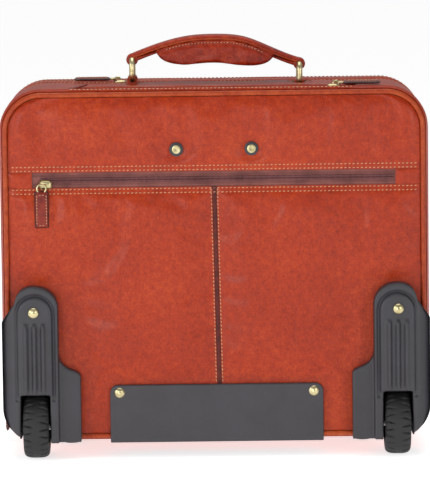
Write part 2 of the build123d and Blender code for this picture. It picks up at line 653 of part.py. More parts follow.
def place(shape, angle, location):
    """Turn a slider or puller from the top of the case to where it belongs."""
    return location * Rot(0, 0, angle) * shape


def make_zips():
    """Each zip's slider and puller: on the rear face, on the top, and on the left side."""
    rear = Pos(REAR_SLIDER_X, REAR_Y + REAR_TAPE_IN, REAR_SLIDER_Z) * Rot(90, 0, 0)
    NODES["rear_zip_slider"] = place(slider(), -90, rear)
    NODES["rear_zip_puller"] = place(puller(), -90, rear)
    trolley = Pos(TROLLEY_SLIDER_X, TROLLEY_Y, TAPE_TOP)
    NODES["trolley_zip_slider"] = place(slider(), 0, trolley)
    NODES["trolley_zip_puller"] = place(puller(), 0, trolley)
    main = Pos(MAIN_SLIDER_X, MAIN_ZIP_Y, TAPE_TOP)
    NODES["main_zip_slider_top"] = place(slider(), 180, main)
    NODES["main_zip_puller_top"] = place(puller(), 180, main)
    side_zips = (("main_zip_%s_side", MAIN_ZIP_Y, MAIN_SIDE_Z),
                 ("laptop_zip_%s", LAPTOP_ZIP_Y, LAPTOP_SIDE_Z))
    for node_name, y, z in side_zips:
        side = Pos(-HALF_W + TAPE_INSET, y, z) * Rot(0, -90, 0)
        NODES[node_name % "slider"] = place(slider(), 180, side)
        NODES[node_name % "puller"] = place(puller(), 180, side)


# ---------------------------------------------------------------- build and write
def main():
    """Make every node and write it to its own file."""
    os.makedirs("parts", exist_ok=True)
    for make in (make_rear, make_tub, make_housings, make_skid, make_wheels, make_trolley, make_handle,
                 make_front, make_zips):
        make()
    for name, shape in NODES.items():
        export_step(shape, os.path.join("parts", name + ".step"))
    print(len(NODES), "nodes written")


main()
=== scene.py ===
# %% [markdown]
# # A rolling laptop case in tan leather
# The frame of this case comes from a CAD model: every board, tube, ring and wheel has its place there. Here
# we dress that frame. Leather, thread, zips, moulded plastic and cast brass are modelled over the frame in
# the same coordinates, in metres, so nothing has to be fitted afterwards.

# %% Load the frame
import bmesh
import bpy
import json
import math
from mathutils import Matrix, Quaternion, Vector, noise


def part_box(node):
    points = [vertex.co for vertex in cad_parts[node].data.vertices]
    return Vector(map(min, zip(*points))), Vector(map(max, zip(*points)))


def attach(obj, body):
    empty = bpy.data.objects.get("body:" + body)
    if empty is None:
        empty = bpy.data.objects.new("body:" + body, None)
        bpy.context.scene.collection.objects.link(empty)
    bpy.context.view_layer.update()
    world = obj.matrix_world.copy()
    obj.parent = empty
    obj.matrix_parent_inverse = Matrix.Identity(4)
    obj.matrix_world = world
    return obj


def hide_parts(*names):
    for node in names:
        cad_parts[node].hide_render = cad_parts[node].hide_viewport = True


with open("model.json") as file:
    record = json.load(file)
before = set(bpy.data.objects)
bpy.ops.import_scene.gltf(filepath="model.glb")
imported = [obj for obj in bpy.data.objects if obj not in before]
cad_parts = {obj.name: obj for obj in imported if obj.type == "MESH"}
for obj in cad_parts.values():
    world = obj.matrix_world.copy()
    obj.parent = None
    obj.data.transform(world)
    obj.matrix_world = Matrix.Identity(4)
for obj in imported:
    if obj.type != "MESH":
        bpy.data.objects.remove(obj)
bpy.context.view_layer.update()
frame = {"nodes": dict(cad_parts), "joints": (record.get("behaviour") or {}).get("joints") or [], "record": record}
MM = 0.001
nodes = frame["nodes"]
print("nodes in the frame:", len(nodes))

# %% [markdown]
# ## Reading the frame
# All the sizes that we need are measured on the frame's own nodes. The rear of the case faces -Y, its width
# runs along X, and Z is up. A few seam lines are worked out once and used by several pieces.

# %% Lines and planes of the case
panel_low, panel_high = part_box("rear_upper_panel")
zip_low, zip_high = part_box("rear_zip_tape")
top_low, top_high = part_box("top_gusset")
section_low, section_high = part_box("front_section_gusset")
lid_low, lid_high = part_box("front_lid_gusset")

REAR = panel_low.y
HALF = top_high.x
TOP = top_high.z
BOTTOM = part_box("bottom_panel")[0].z
TOP_RADIUS = 40 * MM
BOTTOM_RADIUS = 30 * MM
ZIP_BOTTOM = zip_low.z
ZIP_TOP = zip_high.z
print("rear plane", round(REAR, 4), "half width", round(HALF, 4), "top", round(TOP, 4))

# %% [markdown]
# ## Small tools
# Three habits keep modelling by script safe. Everything is deselected before an operator runs, because an
# operator acts on all that is selected. What an edit needs is picked in code, by place or direction. And a
# finished piece has its move, turn and scale applied, so that its object sits at the origin.

# %% Helpers for selecting and shaping
def deselect():
    """Leave edit mode and select nothing."""
    if bpy.context.mode != "OBJECT":
        bpy.ops.object.mode_set(mode="OBJECT")
    bpy.ops.object.select_all(action="DESELECT")


def hold(piece):
    """Make a piece the only selected and active one."""
    deselect()
    piece.select_set(True)
    bpy.context.view_layer.objects.active = piece


def settle(name):
    """Name the object just added, and put its place in its mesh."""
    piece = bpy.context.object
    piece.name = name
    piece.data.name = name
    hold(piece)
    bpy.ops.object.transform_apply(location=True, rotation=True, scale=True)
    return piece


def block(name, low, high):
    """A cube primitive added between two corners."""
    deselect()
    middle = [(a + b) / 2 for a, b in zip(low, high)]
    size = [b - a for a, b in zip(low, high)]
    bpy.ops.mesh.primitive_cube_add(size=1, location=middle)
    bpy.context.object.scale = size
    return settle(name)


def rod(name, centre, radius, length, axis="Z", sides=32):
    """A cylinder primitive along an axis."""
    turn = {"X": (0, math.pi / 2, 0), "Y": (math.pi / 2, 0, 0), "Z": (0, 0, 0)}[axis]
    deselect()
    bpy.ops.mesh.primitive_cylinder_add(vertices=sides, radius=radius, depth=length, location=centre,
                                        rotation=turn)
    return settle(name)


def choose(piece, kind, test):
    """Enter edit mode and select the vertices, edges or faces whose middle passes a test."""
    hold(piece)
    bpy.ops.object.mode_set(mode="EDIT")
    bpy.ops.mesh.select_mode(type=kind)
    bpy.ops.mesh.select_all(action="DESELECT")
    cage = bmesh.from_edit_mesh(piece.data)
    if kind == "FACE":
        for face in cage.faces:
            face.select_set(test(face.calc_center_median(), face.normal))
    elif kind == "EDGE":
        for edge in cage.edges:
            a, b = edge.verts
            edge.select_set(test((a.co + b.co) / 2, (b.co - a.co).normalized()))
    else:
        for vert in cage.verts:
            vert.select_set(test(vert.co, vert.normal))
    cage.select_flush(kind != "VERT")
    bmesh.update_edit_mesh(piece.data)


def outward(piece):
    """Turn all faces outwards."""
    choose(piece, "FACE", lambda c, n: True)
    bpy.ops.mesh.normals_make_consistent(inside=False)
    bpy.ops.object.mode_set(mode="OBJECT")


def seal(piece, sides=0):
    """Weld a rolled-up grid along its seam, close its open ends and turn its faces outwards."""
    hold(piece)
    bpy.ops.object.mode_set(mode="EDIT")
    bpy.ops.mesh.select_all(action="SELECT")
    bpy.ops.mesh.remove_doubles(threshold=0.01 * MM)
    if sides:
        bpy.ops.mesh.fill_holes(sides=sides)
    bpy.ops.mesh.normals_make_consistent(inside=False)
    bpy.ops.object.mode_set(mode="OBJECT")


def modify(piece, kind, **settings):
    """Add a modifier with its settings and apply it."""
    hold(piece)
    modifier = piece.modifiers.new(kind.title(), kind)
    for key, value in settings.items():
        setattr(modifier, key, value)
    bpy.ops.object.modifier_apply(modifier=modifier.name)


def soften(piece, width, segments=2, angle=30):
    """Round the edges that are sharper than an angle."""
    modify(piece, "BEVEL", width=width, segments=segments, limit_method="ANGLE",
           angle_limit=math.radians(angle))


def smooth(piece, angle=40):
    """Shade smooth, with creases kept sharp."""
    hold(piece)
    bpy.ops.object.shade_smooth_by_angle(angle=math.radians(angle))


def reshape(piece, move):
    """Move every vertex to where a function says."""
    for vert in piece.data.vertices:
        vert.co = move(vert.co.copy())
    piece.data.update()


def twin(piece, name):
    """A copy of a piece with a mesh of its own."""
    copy = piece.copy()
    copy.data = piece.data.copy()
    copy.name = name
    copy.data.name = name
    bpy.context.scene.collection.objects.link(copy)
    return copy


def merge(name, parts):
    """Join several pieces into one."""
    deselect()
    for part in parts:
        part.select_set(True)
    bpy.context.view_layer.objects.active = parts[0]
    if len(parts) > 1:
        bpy.ops.object.join()
    piece = bpy.context.object
    piece.name = name
    piece.data.name = name
    return piece


def finish_piece(piece, body, material, stands_for=()):
    """Give a piece its material and its body, and hide the frame's nodes that it stands for."""
    piece.data.materials.clear()
    piece.data.materials.append(material)
    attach(piece, body)
    if stands_for:
        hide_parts(*stands_for)


print("helpers ready")

# %% [markdown]
# ## Making materials from nodes
# Colours are written as a designer would, in sRGB hex. The renderer works in linear light, so one function
# converts them all. Another small function adds any shader node with its settings and its links.

# %% Helpers for materials
def linear(hex_colour):
    """An sRGB hex colour as linear RGBA."""
    channels = [int(hex_colour[i:i + 2], 16) / 255 for i in (1, 3, 5)]
    return [c / 12.92 if c <= 0.04045 else ((c + 0.055) / 1.055) ** 2.4 for c in channels] + [1.0]


def node(material, kind, links=None, settings=None, **sockets):
    """Add a shader node: settings are its properties, sockets its input values, links its incoming wires."""
    made = material.node_tree.nodes.new(kind)
    for key, value in (settings or {}).items():
        setattr(made, key, value)
    for key, value in sockets.items():
        made.inputs[key.replace("_", " ")].default_value = value
    for key, source in (links or {}).items():
        material.node_tree.links.new(source, made.inputs[key])
    return made


def new_material(name, **sockets):
    """A material with its shader, and the object coordinates that its patterns read."""
    material = bpy.data.materials.new(name)
    material.use_nodes = True
    tree = material.node_tree
    tree.nodes.clear()
    out = tree.nodes.new("ShaderNodeOutputMaterial")
    shader = tree.nodes.new("ShaderNodeBsdfPrincipled")
    for key, value in sockets.items():
        shader.inputs[key.replace("_", " ")].default_value = value
    tree.links.new(shader.outputs["BSDF"], out.inputs["Surface"])
    place = tree.nodes.new("ShaderNodeTexCoord").outputs["Object"]
    return material, shader, place


def ramp(material, source, stops):
    """A colour ramp with (position, hex colour) stops."""
    made = node(material, "ShaderNodeValToRGB", {"Fac": source})
    elements = made.color_ramp.elements
    while len(elements) < len(stops):
        elements.new(0.5)
    for element, (position, colour) in zip(elements, stops):
        element.position = position
        element.color = linear(colour)
    return made.outputs["Color"]


def wire(material, source, shader, socket):
    """Link an output to one of the shader's sockets."""
    material.node_tree.links.new(source, shader.inputs[socket])


def spread(material, source, low, high):
    """Map a 0 to 1 value to a range."""
    made = node(material, "ShaderNodeMapRange", {"Value": source}, To_Min=low, To_Max=high)
    return made.outputs["Result"]


def bump(material, height, distance_mm, strength=1.0, under=None):
    """Bump from a height, over another bump if one is given."""
    links = {"Height": height}
    if under is not None:
        links["Normal"] = under
    made = node(material, "ShaderNodeBump", links, Strength=strength, Distance=distance_mm * MM)
    return made.outputs["Normal"]


print("material helpers ready")

# %% [markdown]
# ## Vegetable-tanned leather
# This is cowhide, drum dyed and then finished with a thin wax. Dye takes unevenly, so the colour wanders
# from orange tan to red brown over a few centimetres. The grain is a net of small pebbles one to two
# millimetres across, which we draw with Voronoi cells, with finer pores inside. The hollows between the
# pebbles are darkened in the colour, as painted shade. Wax gives the soft gloss.

# %% Leather
PORE_MM = 0.9


def leather(name, deep, body, light, grain_mm=1.9, gloss=0.29, relief=0.45):
    """Waxed leather: mottled dye, pebbled grain with painted shade in its hollows, fine upright creases and an
    uneven gloss.
    """
    material, shader, place = new_material(name, IOR=1.5)
    mottle = node(material, "ShaderNodeTexNoise", {"Vector": place}, Scale=11.0, Detail=4.0, Roughness=0.5)
    cloud = node(material, "ShaderNodeTexNoise", {"Vector": place}, Scale=160.0, Detail=5.0, Roughness=0.7)
    blend = node(material, "ShaderNodeMix", {}, {"data_type": "FLOAT"}, Factor=0.62)
    material.node_tree.links.new(mottle.outputs["Fac"], blend.inputs[2])
    material.node_tree.links.new(cloud.outputs["Fac"], blend.inputs[3])
    dye = ramp(material, blend.outputs[0], [(0.34, deep), (0.50, body), (0.66, light)])

    cells = node(material, "ShaderNodeTexVoronoi", {"Vector": place}, {"feature": "F1"},
                 Scale=1 / (grain_mm * MM), Randomness=1.0)
    pores = node(material, "ShaderNodeTexNoise", {"Vector": place},
                 Scale=1 / (PORE_MM * MM), Detail=3.0, Roughness=0.6)
    stretch = node(material, "ShaderNodeMapping", {"Vector": place}, Scale=(1.0, 1.0, 0.30))
    folds = node(material, "ShaderNodeTexNoise", {"Vector": stretch.outputs["Vector"]},
                 Scale=150.0, Detail=6.0, Roughness=0.72, Distortion=0.8)
    # Painted shade: the dye is multiplied by a dull brown towards the edges of each grain cell, where the bump
    # sinks the hollows between the pebbles.
    painted_hollow_shade = spread(material, cells.outputs["Distance"], 0.0, 0.55)
    dye_with_painted_shade = node(material, "ShaderNodeMix", {"Factor": painted_hollow_shade},
                 {"data_type": "RGBA", "blend_type": "MULTIPLY"})
    material.node_tree.links.new(dye, dye_with_painted_shade.inputs[6])
    dye_with_painted_shade.inputs[7].default_value = linear("#A8786A")
    wire(material, dye_with_painted_shade.outputs[2], shader, "Base Color")
    wire(material, spread(material, folds.outputs["Fac"], gloss - 0.10, gloss + 0.16), shader, "Roughness")
    low = bump(material, folds.outputs["Fac"], 1.8, 0.5)
    middle = bump(material, cells.outputs["Distance"], relief * 1.8, -0.9, low)
    fine = bump(material, pores.outputs["Fac"], relief, 0.6, middle)
    wire(material, fine, shader, "Normal")
    shader.inputs["Specular IOR Level"].default_value = 0.24
    shader.inputs["Coat Weight"].default_value = 0.10
    shader.inputs["Coat Roughness"].default_value = 0.22
    return material


TAN = leather("waxed cowhide, tan", "#982A08", "#AE340A", "#C04410")
WELT = leather("waxed cowhide, orange welt", "#962E0C", "#B04416", "#C05824", grain_mm=1.2, gloss=0.36)
SEAM = leather("waxed cowhide, dark seam", "#3E0E08", "#5E1A10", "#7A281A", grain_mm=1.2, gloss=0.42)
TAB = leather("glazed cowhide, oxblood tab", "#4E120C", "#7A2014", "#9A3420", grain_mm=1.1, gloss=0.24)
GRIP = leather("waxed cowhide, handle", "#7E1E0A", "#A83012", "#C24A20", grain_mm=1.2, gloss=0.30)
print("leathers made")

# %% [markdown]
# ## The other materials
# Thread is bonded polyester: pale cream with a silky twist. The zip's tape is woven, and its nylon coil is
# mauve brown. Housings and skid plate are injection-moulded ABS with a spark-eroded texture. The fittings
# are pale antique brass. Trolley tubes are drawn and anodised, so their scratches run along them.

# %% Thread, tape and plastics
def thread():
    """Bonded polyester thread: silky, with a fine twist along each stitch."""
    material, shader, place = new_material("polyester thread, cream", Roughness=0.55, IOR=1.5)
    waves = node(material, "ShaderNodeTexNoise", {"Vector": place}, Scale=900.0, Detail=2.0)
    shades = ramp(material, waves.outputs["Fac"], [(0.3, "#A8704C"), (0.7, "#D8AE88")])
    wire(material, shades, shader, "Base Color")
    wire(material, bump(material, waves.outputs["Fac"], 0.2, 0.6), shader, "Normal")
    return material


WAVE_PITCH = 0.314


def woven(name, dark, light, pitch_mm=1.1):
    """A woven tape or lining. Its threads are drawn coarser than the real 0.4 mm, so that they show."""
    material, shader, place = new_material(name, Roughness=0.85, IOR=1.5)
    shader.inputs["Sheen Weight"].default_value = 0.3
    shader.inputs["Sheen Roughness"].default_value = 0.5
    heights = []
    for axis in "XYZ":
        wave = node(material, "ShaderNodeTexWave", {"Vector": place}, {"bands_direction": axis},
                    Scale=WAVE_PITCH / (pitch_mm * MM), Distortion=0.4, Detail=1.0)
        heights.append(wave.outputs["Fac"])
    weave = node(material, "ShaderNodeMath", {0: heights[0], 1: heights[1]}, {"operation": "MULTIPLY"})
    weave = node(material, "ShaderNodeMath", {0: weave.outputs[0], 1: heights[2]}, {"operation": "ADD"})
    cloud = node(material, "ShaderNodeTexNoise", {"Vector": place}, Scale=60.0, Detail=3.0)
    tone = node(material, "ShaderNodeMath", {0: weave.outputs[0], 1: cloud.outputs["Fac"]},
                {"operation": "MULTIPLY"})
    wire(material, ramp(material, tone.outputs[0], [(0.15, dark), (0.75, light)]), shader, "Base Color")
    wire(material, bump(material, weave.outputs[0], 0.25, 0.7), shader, "Normal")
    return material


def moulded(name, dark, light, roughness=0.5, grit_mm=0.7, relief=0.07):
    """Injection-moulded ABS: even colour, a fine spark-eroded texture and slightly rubbed high spots."""
    material, shader, place = new_material(name, IOR=1.53)
    grit = node(material, "ShaderNodeTexNoise", {"Vector": place}, Scale=1 / (grit_mm * MM), Detail=2.0)
    rubbed = node(material, "ShaderNodeTexNoise", {"Vector": place}, Scale=30.0, Detail=6.0, Roughness=0.7)
    wire(material, ramp(material, rubbed.outputs["Fac"], [(0.35, dark), (0.68, light)]), shader, "Base Color")
    dull = spread(material, rubbed.outputs["Fac"], roughness - 0.10, roughness + 0.12)
    wire(material, dull, shader, "Roughness")
    wire(material, bump(material, grit.outputs["Fac"], relief, 0.6), shader, "Normal")
    return material


def metal(name, dark, light, roughness, along=(1, 1, 1), scale=160.0, relief=0.03):
    """A metal whose dull patches or drawn scratches come from noise stretched along a direction."""
    material, shader, place = new_material(name, Metallic=1.0)
    stretch = node(material, "ShaderNodeMapping", {"Vector": place}, Scale=along)
    grain = node(material, "ShaderNodeTexNoise", {"Vector": stretch.outputs["Vector"]},
                 Scale=scale, Detail=5.0, Roughness=0.65)
    wire(material, ramp(material, grain.outputs["Fac"], [(0.3, dark), (0.7, light)]), shader, "Base Color")
    dull = spread(material, grain.outputs["Fac"], roughness - 0.08, roughness + 0.12)
    wire(material, dull, shader, "Roughness")
    wire(material, bump(material, grain.outputs["Fac"], relief, 0.5), shader, "Normal")
    return material


def tyre_rubber():
    """Moulded rubber: near black, dusty and matt, with a faint grain."""
    material, shader, place = new_material("moulded rubber, black", IOR=1.52)
    dust = node(material, "ShaderNodeTexNoise", {"Vector": place}, Scale=120.0, Detail=6.0, Roughness=0.7)
    shades = ramp(material, dust.outputs["Fac"], [(0.35, "#0E0E10"), (0.75, "#232325")])
    wire(material, shades, shader, "Base Color")
    wire(material, spread(material, dust.outputs["Fac"], 0.5, 0.8), shader, "Roughness")
    wire(material, bump(material, dust.outputs["Fac"], 0.15, 0.5), shader, "Normal")
    return material


THREAD = thread()
TAPE = woven("woven polyester, zip tape", "#4E201E", "#9C5E56")
LINING = woven("woven cotton, lining", "#3A2A20", "#6A5040", pitch_mm=1.8)
COIL = moulded("moulded nylon, zip coil", "#56292A", "#7C484A", roughness=0.36, grit_mm=1.5)
ABS = moulded("moulded ABS, charcoal", "#28262B", "#323036", roughness=0.46)
SKID = moulded("moulded polypropylene, charcoal", "#2E2C31", "#38363B", roughness=0.50)
BLACK = moulded("moulded ABS, black", "#0E0E10", "#18181B", roughness=0.38)
BOARD = moulded("pressed fibre board", "#3A2C22", "#55402F", roughness=0.85, grit_mm=2.0)
EDGE = moulded("edge paint, dark brown", "#1E0F0C", "#33201A", roughness=0.32, grit_mm=1.2)
BRASS = metal("cast brass, pale satin", "#A89A6A", "#E2D8AE", 0.30)
TUBE = metal("drawn aluminium, anodised", "#9A9A9E", "#C6C7CA", 0.30, along=(1, 1, 0.03), scale=900.0)
STEEL = metal("ground steel", "#8A8A8C", "#BDBEC0", 0.25, along=(0.05, 1, 1), scale=700.0)
RUBBER = tyre_rubber()
print("materials:", len(bpy.data.materials))

# %% [markdown]
# ## Dressing the frame's own nodes
# Where a node of the frame already has the right shape, it stays, and only its material changes. The sharp
# edges of the CAD solids are welded and rounded with live modifiers, which leave the node's mesh alone.

# %% Materials on the frame's nodes
SLOT_LOOKS = {"tan_leather": TAN, "seam_leather": SEAM, "piping_leather": WELT, "zip_tape": TAPE,
              "board": BOARD, "lining": LINING, "black_plastic": ABS, "brass": BRASS, "aluminium_tube": TUBE,
              "tyre_rubber": RUBBER, "hub_plastic": BLACK, "bearing_steel": STEEL}
for part in frame["record"]["subparts"]:
    cad = nodes[part["node"]]
    cad.data.materials.clear()
    cad.data.materials.append(SLOT_LOOKS[part["material_slot"]])


def round_cad(name, width_mm, angle=35):
    """Weld a frame node's loose triangles and round its edges, with live modifiers."""
    cad = nodes[name]
    weld = cad.modifiers.new("Weld", "WELD")
    weld.merge_threshold = 0.01 * MM
    bevel = cad.modifiers.new("Bevel", "BEVEL")
    bevel.width = width_mm * MM
    bevel.segments = 2
    bevel.limit_method = "ANGLE"
    bevel.angle_limit = math.radians(angle)
    bevel.harden_normals = False
    for polygon in cad.data.polygons:
        polygon.use_smooth = True


print("frame dressed")

# %% [markdown]
# ## Camera, floor and light
# A long lens about four metres away keeps the sides of the case nearly parallel. The camera looks at the
# wheel side, a few degrees from above. Large soft lamps stand left, right and above, over a pale floor.

# %% Camera
CAMERA_DISTANCE = 3.85
CAMERA_TILT = math.radians(6.0)
CAMERA_ROLL = math.radians(-0.7)
LONG_SIDE = 494
aim = Vector((0.0, REAR, 0.2115))
back = Vector((0, -math.cos(CAMERA_TILT), math.sin(CAMERA_TILT)))
deselect()
bpy.ops.object.camera_add(location=aim + back * CAMERA_DISTANCE)
camera = bpy.context.object
camera.rotation_mode = "QUATERNION"
turn = (-back).to_track_quat("-Z", "Y")
camera.rotation_quaternion = turn @ Quaternion((0, 0, 1), CAMERA_ROLL)
camera.data.sensor_width = 36.0
camera.data.lens = 36.0 * CAMERA_DISTANCE / MM / LONG_SIDE
camera.data.clip_end = 50.0
bpy.context.scene.camera = camera
print("lens", round(camera.data.lens, 1), "mm")

# %% [markdown]
# ## A pale room
# The floor is a large sheet of matt paper that glows a little, so it stays white to the horizon from every
# side. Area lamps are like the soft boxes of a studio: the larger they are, the softer the gloss on the
# leather. The world adds the light that a white room would throw back.

# %% Floor and lamps
deselect()
bpy.ops.mesh.primitive_plane_add(size=60.0, location=(0, 0, 0))
floor = settle("floor")
paper, paper_shader, _ = new_material("matt paper, white", Roughness=0.95)
paper_shader.inputs["Base Color"].default_value = linear("#F4F4F4")
paper_shader.inputs["Emission Color"].default_value = linear("#FFFFFF")
paper_shader.inputs["Emission Strength"].default_value = 0.66
floor.data.materials.append(paper)


LAMP_AIM = Vector((0, 0, 0.2))


def lamp(name, place, size, power):
    """A large square area lamp that faces the middle of the case."""
    deselect()
    bpy.ops.object.light_add(type="AREA", location=place)
    light = bpy.context.object
    light.name = name
    light.data.shape = "SQUARE"
    light.data.size = size
    light.data.energy = power
    light.rotation_mode = "QUATERNION"
    light.rotation_quaternion = (LAMP_AIM - Vector(place)).to_track_quat("-Z", "Y")


lamp("lamp_left", (-2.1, -1.3, 0.9), size=1.1, power=16)
lamp("lamp_left_front", (-1.05, -2.9, 0.6), size=0.6, power=14)
lamp("lamp_right", (1.7, -2.3, 0.7), size=0.8, power=14)
lamp("lamp_top", (0.0, 0.2, 2.4), size=1.8, power=26)
world = bpy.data.worlds.new("pale room")
world.use_nodes = True
world.node_tree.nodes["Background"].inputs["Color"].default_value = (1, 1, 1, 1)
world.node_tree.nodes["Background"].inputs["Strength"].default_value = 0.34
bpy.context.scene.world = world
bpy.context.scene.view_settings.view_transform = "Standard"
print("stage set")

# %% [markdown]
# ## The rear leather
# Three cut panels are sewn over the stiffener board. Leather that is sewn along its edges over a soft lining
# never lies flat: it crowns a few millimetres and puckers a little where the stitches gather it. So each
# panel is a fine grid that is held along its seams and blown up gently with the Cloth simulation. Its
# folded edge gets its thickness afterwards.

# %% Seam lines on the rear face
INSET = HALF - panel_high.x
SEAM_HALF = 2.2 * MM
LEAN = 3.0 * MM
SKID_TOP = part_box("skid_plate")[1].z
ROW_GAP = 4.0 * MM
ROWS_ABOVE = (ZIP_TOP + 1.6 * MM, ZIP_TOP + 1.6 * MM + ROW_GAP)
ROWS_BELOW = (ZIP_BOTTOM - 1.6 * MM, ZIP_BOTTOM - 1.6 * MM - ROW_GAP)
CROWN = 2.2 * MM


def lean(z):
    """The centre seam isn't quite upright: its lower end stands a little to the right."""
    return LEAN * max(0.0, (ZIP_BOTTOM - z) / (ZIP_BOTTOM - SKID_TOP))


def half_width(z, inset):
    """Half the width of the rounded outline at a height."""
    top_middle = TOP - TOP_RADIUS
    bottom_middle = BOTTOM + BOTTOM_RADIUS
    if z > top_middle:
        radius = TOP_RADIUS - inset
        return HALF - TOP_RADIUS + math.sqrt(max(0.0, radius ** 2 - (z - top_middle) ** 2))
    if z < bottom_middle:
        radius = BOTTOM_RADIUS - inset
        return HALF - BOTTOM_RADIUS + math.sqrt(max(0.0, radius ** 2 - (bottom_middle - z) ** 2))
    return HALF - inset


def dome(u, v, rise, margin_u=0.12, margin_v=0.12):
    """A crown over a 0 to 1 square: steep near its seams and nearly flat in its middle."""
    edge = min(u / margin_u, (1 - u) / margin_u, 1) * math.pi / 2
    side = min(v / margin_v, (1 - v) / margin_v, 1) * math.pi / 2
    return rise * math.sin(max(edge, 0)) * math.sin(max(side, 0))


# %% [markdown]
# ## Blowing up with Cloth
# Air pressure is a good stand-in for padding. The seams are pinned, the rest swells, and a cap keeps every
# point close to where it started, so that the panel stays in its place on the case.

# %% Blowing up a leather panel
def inflate(piece, held, pressure, slack, cap, frames=20):
    """Hold some vertices, blow the rest up with Cloth, then cap how far any point has moved."""
    rest = [v.co.copy() for v in piece.data.vertices]
    group = piece.vertex_groups.new(name="seam")
    group.add([v.index for v in piece.data.vertices if held(v.co)], 1.0, "REPLACE")
    hold(piece)
    modifier = piece.modifiers.new("Cloth", "CLOTH")
    cloth = modifier.settings
    cloth.quality = 6
    cloth.mass = 0.4
    cloth.tension_stiffness = 25
    cloth.compression_stiffness = 25
    cloth.shear_stiffness = 10
    cloth.bending_stiffness = 1.2
    cloth.vertex_group_mass = "seam"
    cloth.shrink_min = -slack
    cloth.use_pressure = True
    cloth.uniform_pressure_force = pressure
    cloth.effector_weights.gravity = 0
    scene = bpy.context.scene
    for frame_number in range(1, frames + 1):
        scene.frame_set(frame_number)
    bpy.ops.object.modifier_apply(modifier=modifier.name)
    scene.frame_set(1)
    piece.vertex_groups.clear()
    for vert, start in zip(piece.data.vertices, rest):
        move = vert.co - start
        for i in range(3):
            move[i] = max(-cap[i], min(cap[i], move[i]))
        vert.co = start + move
    piece.data.update()
    most = max((v.co - s).length for v, s in zip(piece.data.vertices, rest))
    print(piece.name, "blown up by up to", round(most / MM, 1), "mm")


def wall_grid(name, x0, x1, z0, z1, y, step, facing=-1):
    """An upright grid primitive between two x and two z, facing the rear (-1) or the front (1)."""
    across = max(2, round((x1 - x0) / step))
    up = max(2, round((z1 - z0) / step))
    deselect()
    bpy.ops.mesh.primitive_grid_add(x_subdivisions=across, y_subdivisions=up, size=1,
                                    location=((x0 + x1) / 2, y, (z0 + z1) / 2),
                                    rotation=(math.pi / 2 * -facing, 0, 0))
    bpy.context.object.scale = (x1 - x0, z1 - z0, 1)
    return settle(name)


HARDWARE = [(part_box("skid_plate"), 2 * MM), (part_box("wheel_housing_left"), 1 * MM),
            (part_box("wheel_housing_right"), 1 * MM)]


def clear_of(co, box, margin, ramp):
    """0 on a box's footprint on the rear face and within a margin of it, rising to 1 over a ramp outside."""
    low, high = box
    gap_x = max(low.x - co.x, co.x - high.x, 0.0)
    gap_z = max(low.z - co.z, co.z - high.z, 0.0)
    gap = math.hypot(gap_x, gap_z)
    return max(0.0, min(1.0, (gap - margin) / ramp))


def room(co):
    """How much of its crown the leather keeps here: none where plastic or a washer presses it flat."""
    keep = min(clear_of(co, box, margin, 30 * MM) for box, margin in HARDWARE)
    for side in (-1, 1):
        away = math.hypot(co.x - side * SCREW_X, co.z - SCREW_Z)
        keep = min(keep, max(0.0, min(1.0, (away - 7 * MM) / (12 * MM))))
    return keep * keep * (3 - 2 * keep)


screw_low, screw_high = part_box("bracket_screws")
washer_low, washer_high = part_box("screw_washers")
SCREW_Z = (screw_low.z + screw_high.z) / 2
SCREW_X = washer_high.x - (washer_high.z - washer_low.z) / 2


def sewn_panel(name, left, right, z0, z1, held_rows=(), y=REAR, facing=-1, keep=room, crown=CROWN,
               pressure=0.9):
    """An upright sewn panel: left and right are functions of z, held_rows are heights sewn right across."""
    wide = right((z0 + z1) / 2) - left((z0 + z1) / 2)
    panel = wall_grid(name, 0, wide, z0, z1, y, 3.4 * MM, facing)

    def shaped(co):
        u = co.x / wide
        v = (co.z - z0) / (z1 - z0)
        co.x = left(co.z) + u * (right(co.z) - left(co.z))
        roll = 0.7 * MM * noise.noise(Vector((co.x * 17, y * 50, co.z * 8)))
        roll += 0.9 * MM * dome(u, v, 1.0, 0.4, 0.4)
        rise = dome(u, v, crown, 11 * MM / wide, 14 * MM / (z1 - z0)) + roll * dome(u, v, 1.0)
        co.y = y + facing * keep(co) * rise
        return co

    reshape(panel, shaped)

    def held(co):
        near_side = min(co.x - left(co.z), right(co.z) - co.x) < 3.2 * MM
        near_row = any(abs(co.z - row) < 2.4 * MM for row in held_rows)
        return near_side or near_row or co.z > z1 - 3 * MM or co.z < z0 + 3 * MM or keep(co) < 0.05

    if pressure:
        inflate(panel, held, pressure, 0.006, (1.2 * MM, 2.6 * MM, 1.2 * MM))

    def sewn(co):
        for row in held_rows:
            co.y -= facing * 0.5 * MM * math.exp(-((co.z - row) / (1.3 * MM)) ** 2)
        return co

    modify(panel, "SUBSURF", levels=1, render_levels=1)
    reshape(panel, sewn)
    modify(panel, "SOLIDIFY", thickness=1.8 * MM, offset=-1.0)
    smooth(panel, 50)
    print(name, "faces:", len(panel.data.polygons))
    return panel


def edge_left(z):
    """The left seam of the rear face."""
    return -half_width(z, INSET)


def edge_right(z):
    """The right seam of the rear face."""
    return half_width(z, INSET)


# %% [markdown]
# ## Cutting and sewing the three panels
# The real panels are cut from one hide, one above the zip and two below it. They could be one sheet with
# grooves, but separate pieces give real edges that catch the light. They share the seam lines above, so
# each edge meets its neighbour.

# %% The three rear panels
upper = sewn_panel("leather_rear_upper", edge_left, edge_right, ZIP_TOP, TOP - INSET - 0.3 * MM, ROWS_ABOVE)
finish_piece(upper, "case", TAN, ["rear_upper_panel"])
lower_left = sewn_panel("leather_rear_lower_left", edge_left, lambda z: lean(z) - SEAM_HALF,
                        BOTTOM + INSET, ZIP_BOTTOM, ROWS_BELOW)
finish_piece(lower_left, "case", TAN, ["rear_lower_panel_left"])
lower_right = sewn_panel("leather_rear_lower_right", lambda z: lean(z) + SEAM_HALF, edge_right,
                         BOTTOM + INSET, ZIP_BOTTOM, ROWS_BELOW)
finish_piece(lower_right, "case", TAN, ["rear_lower_panel_right"])


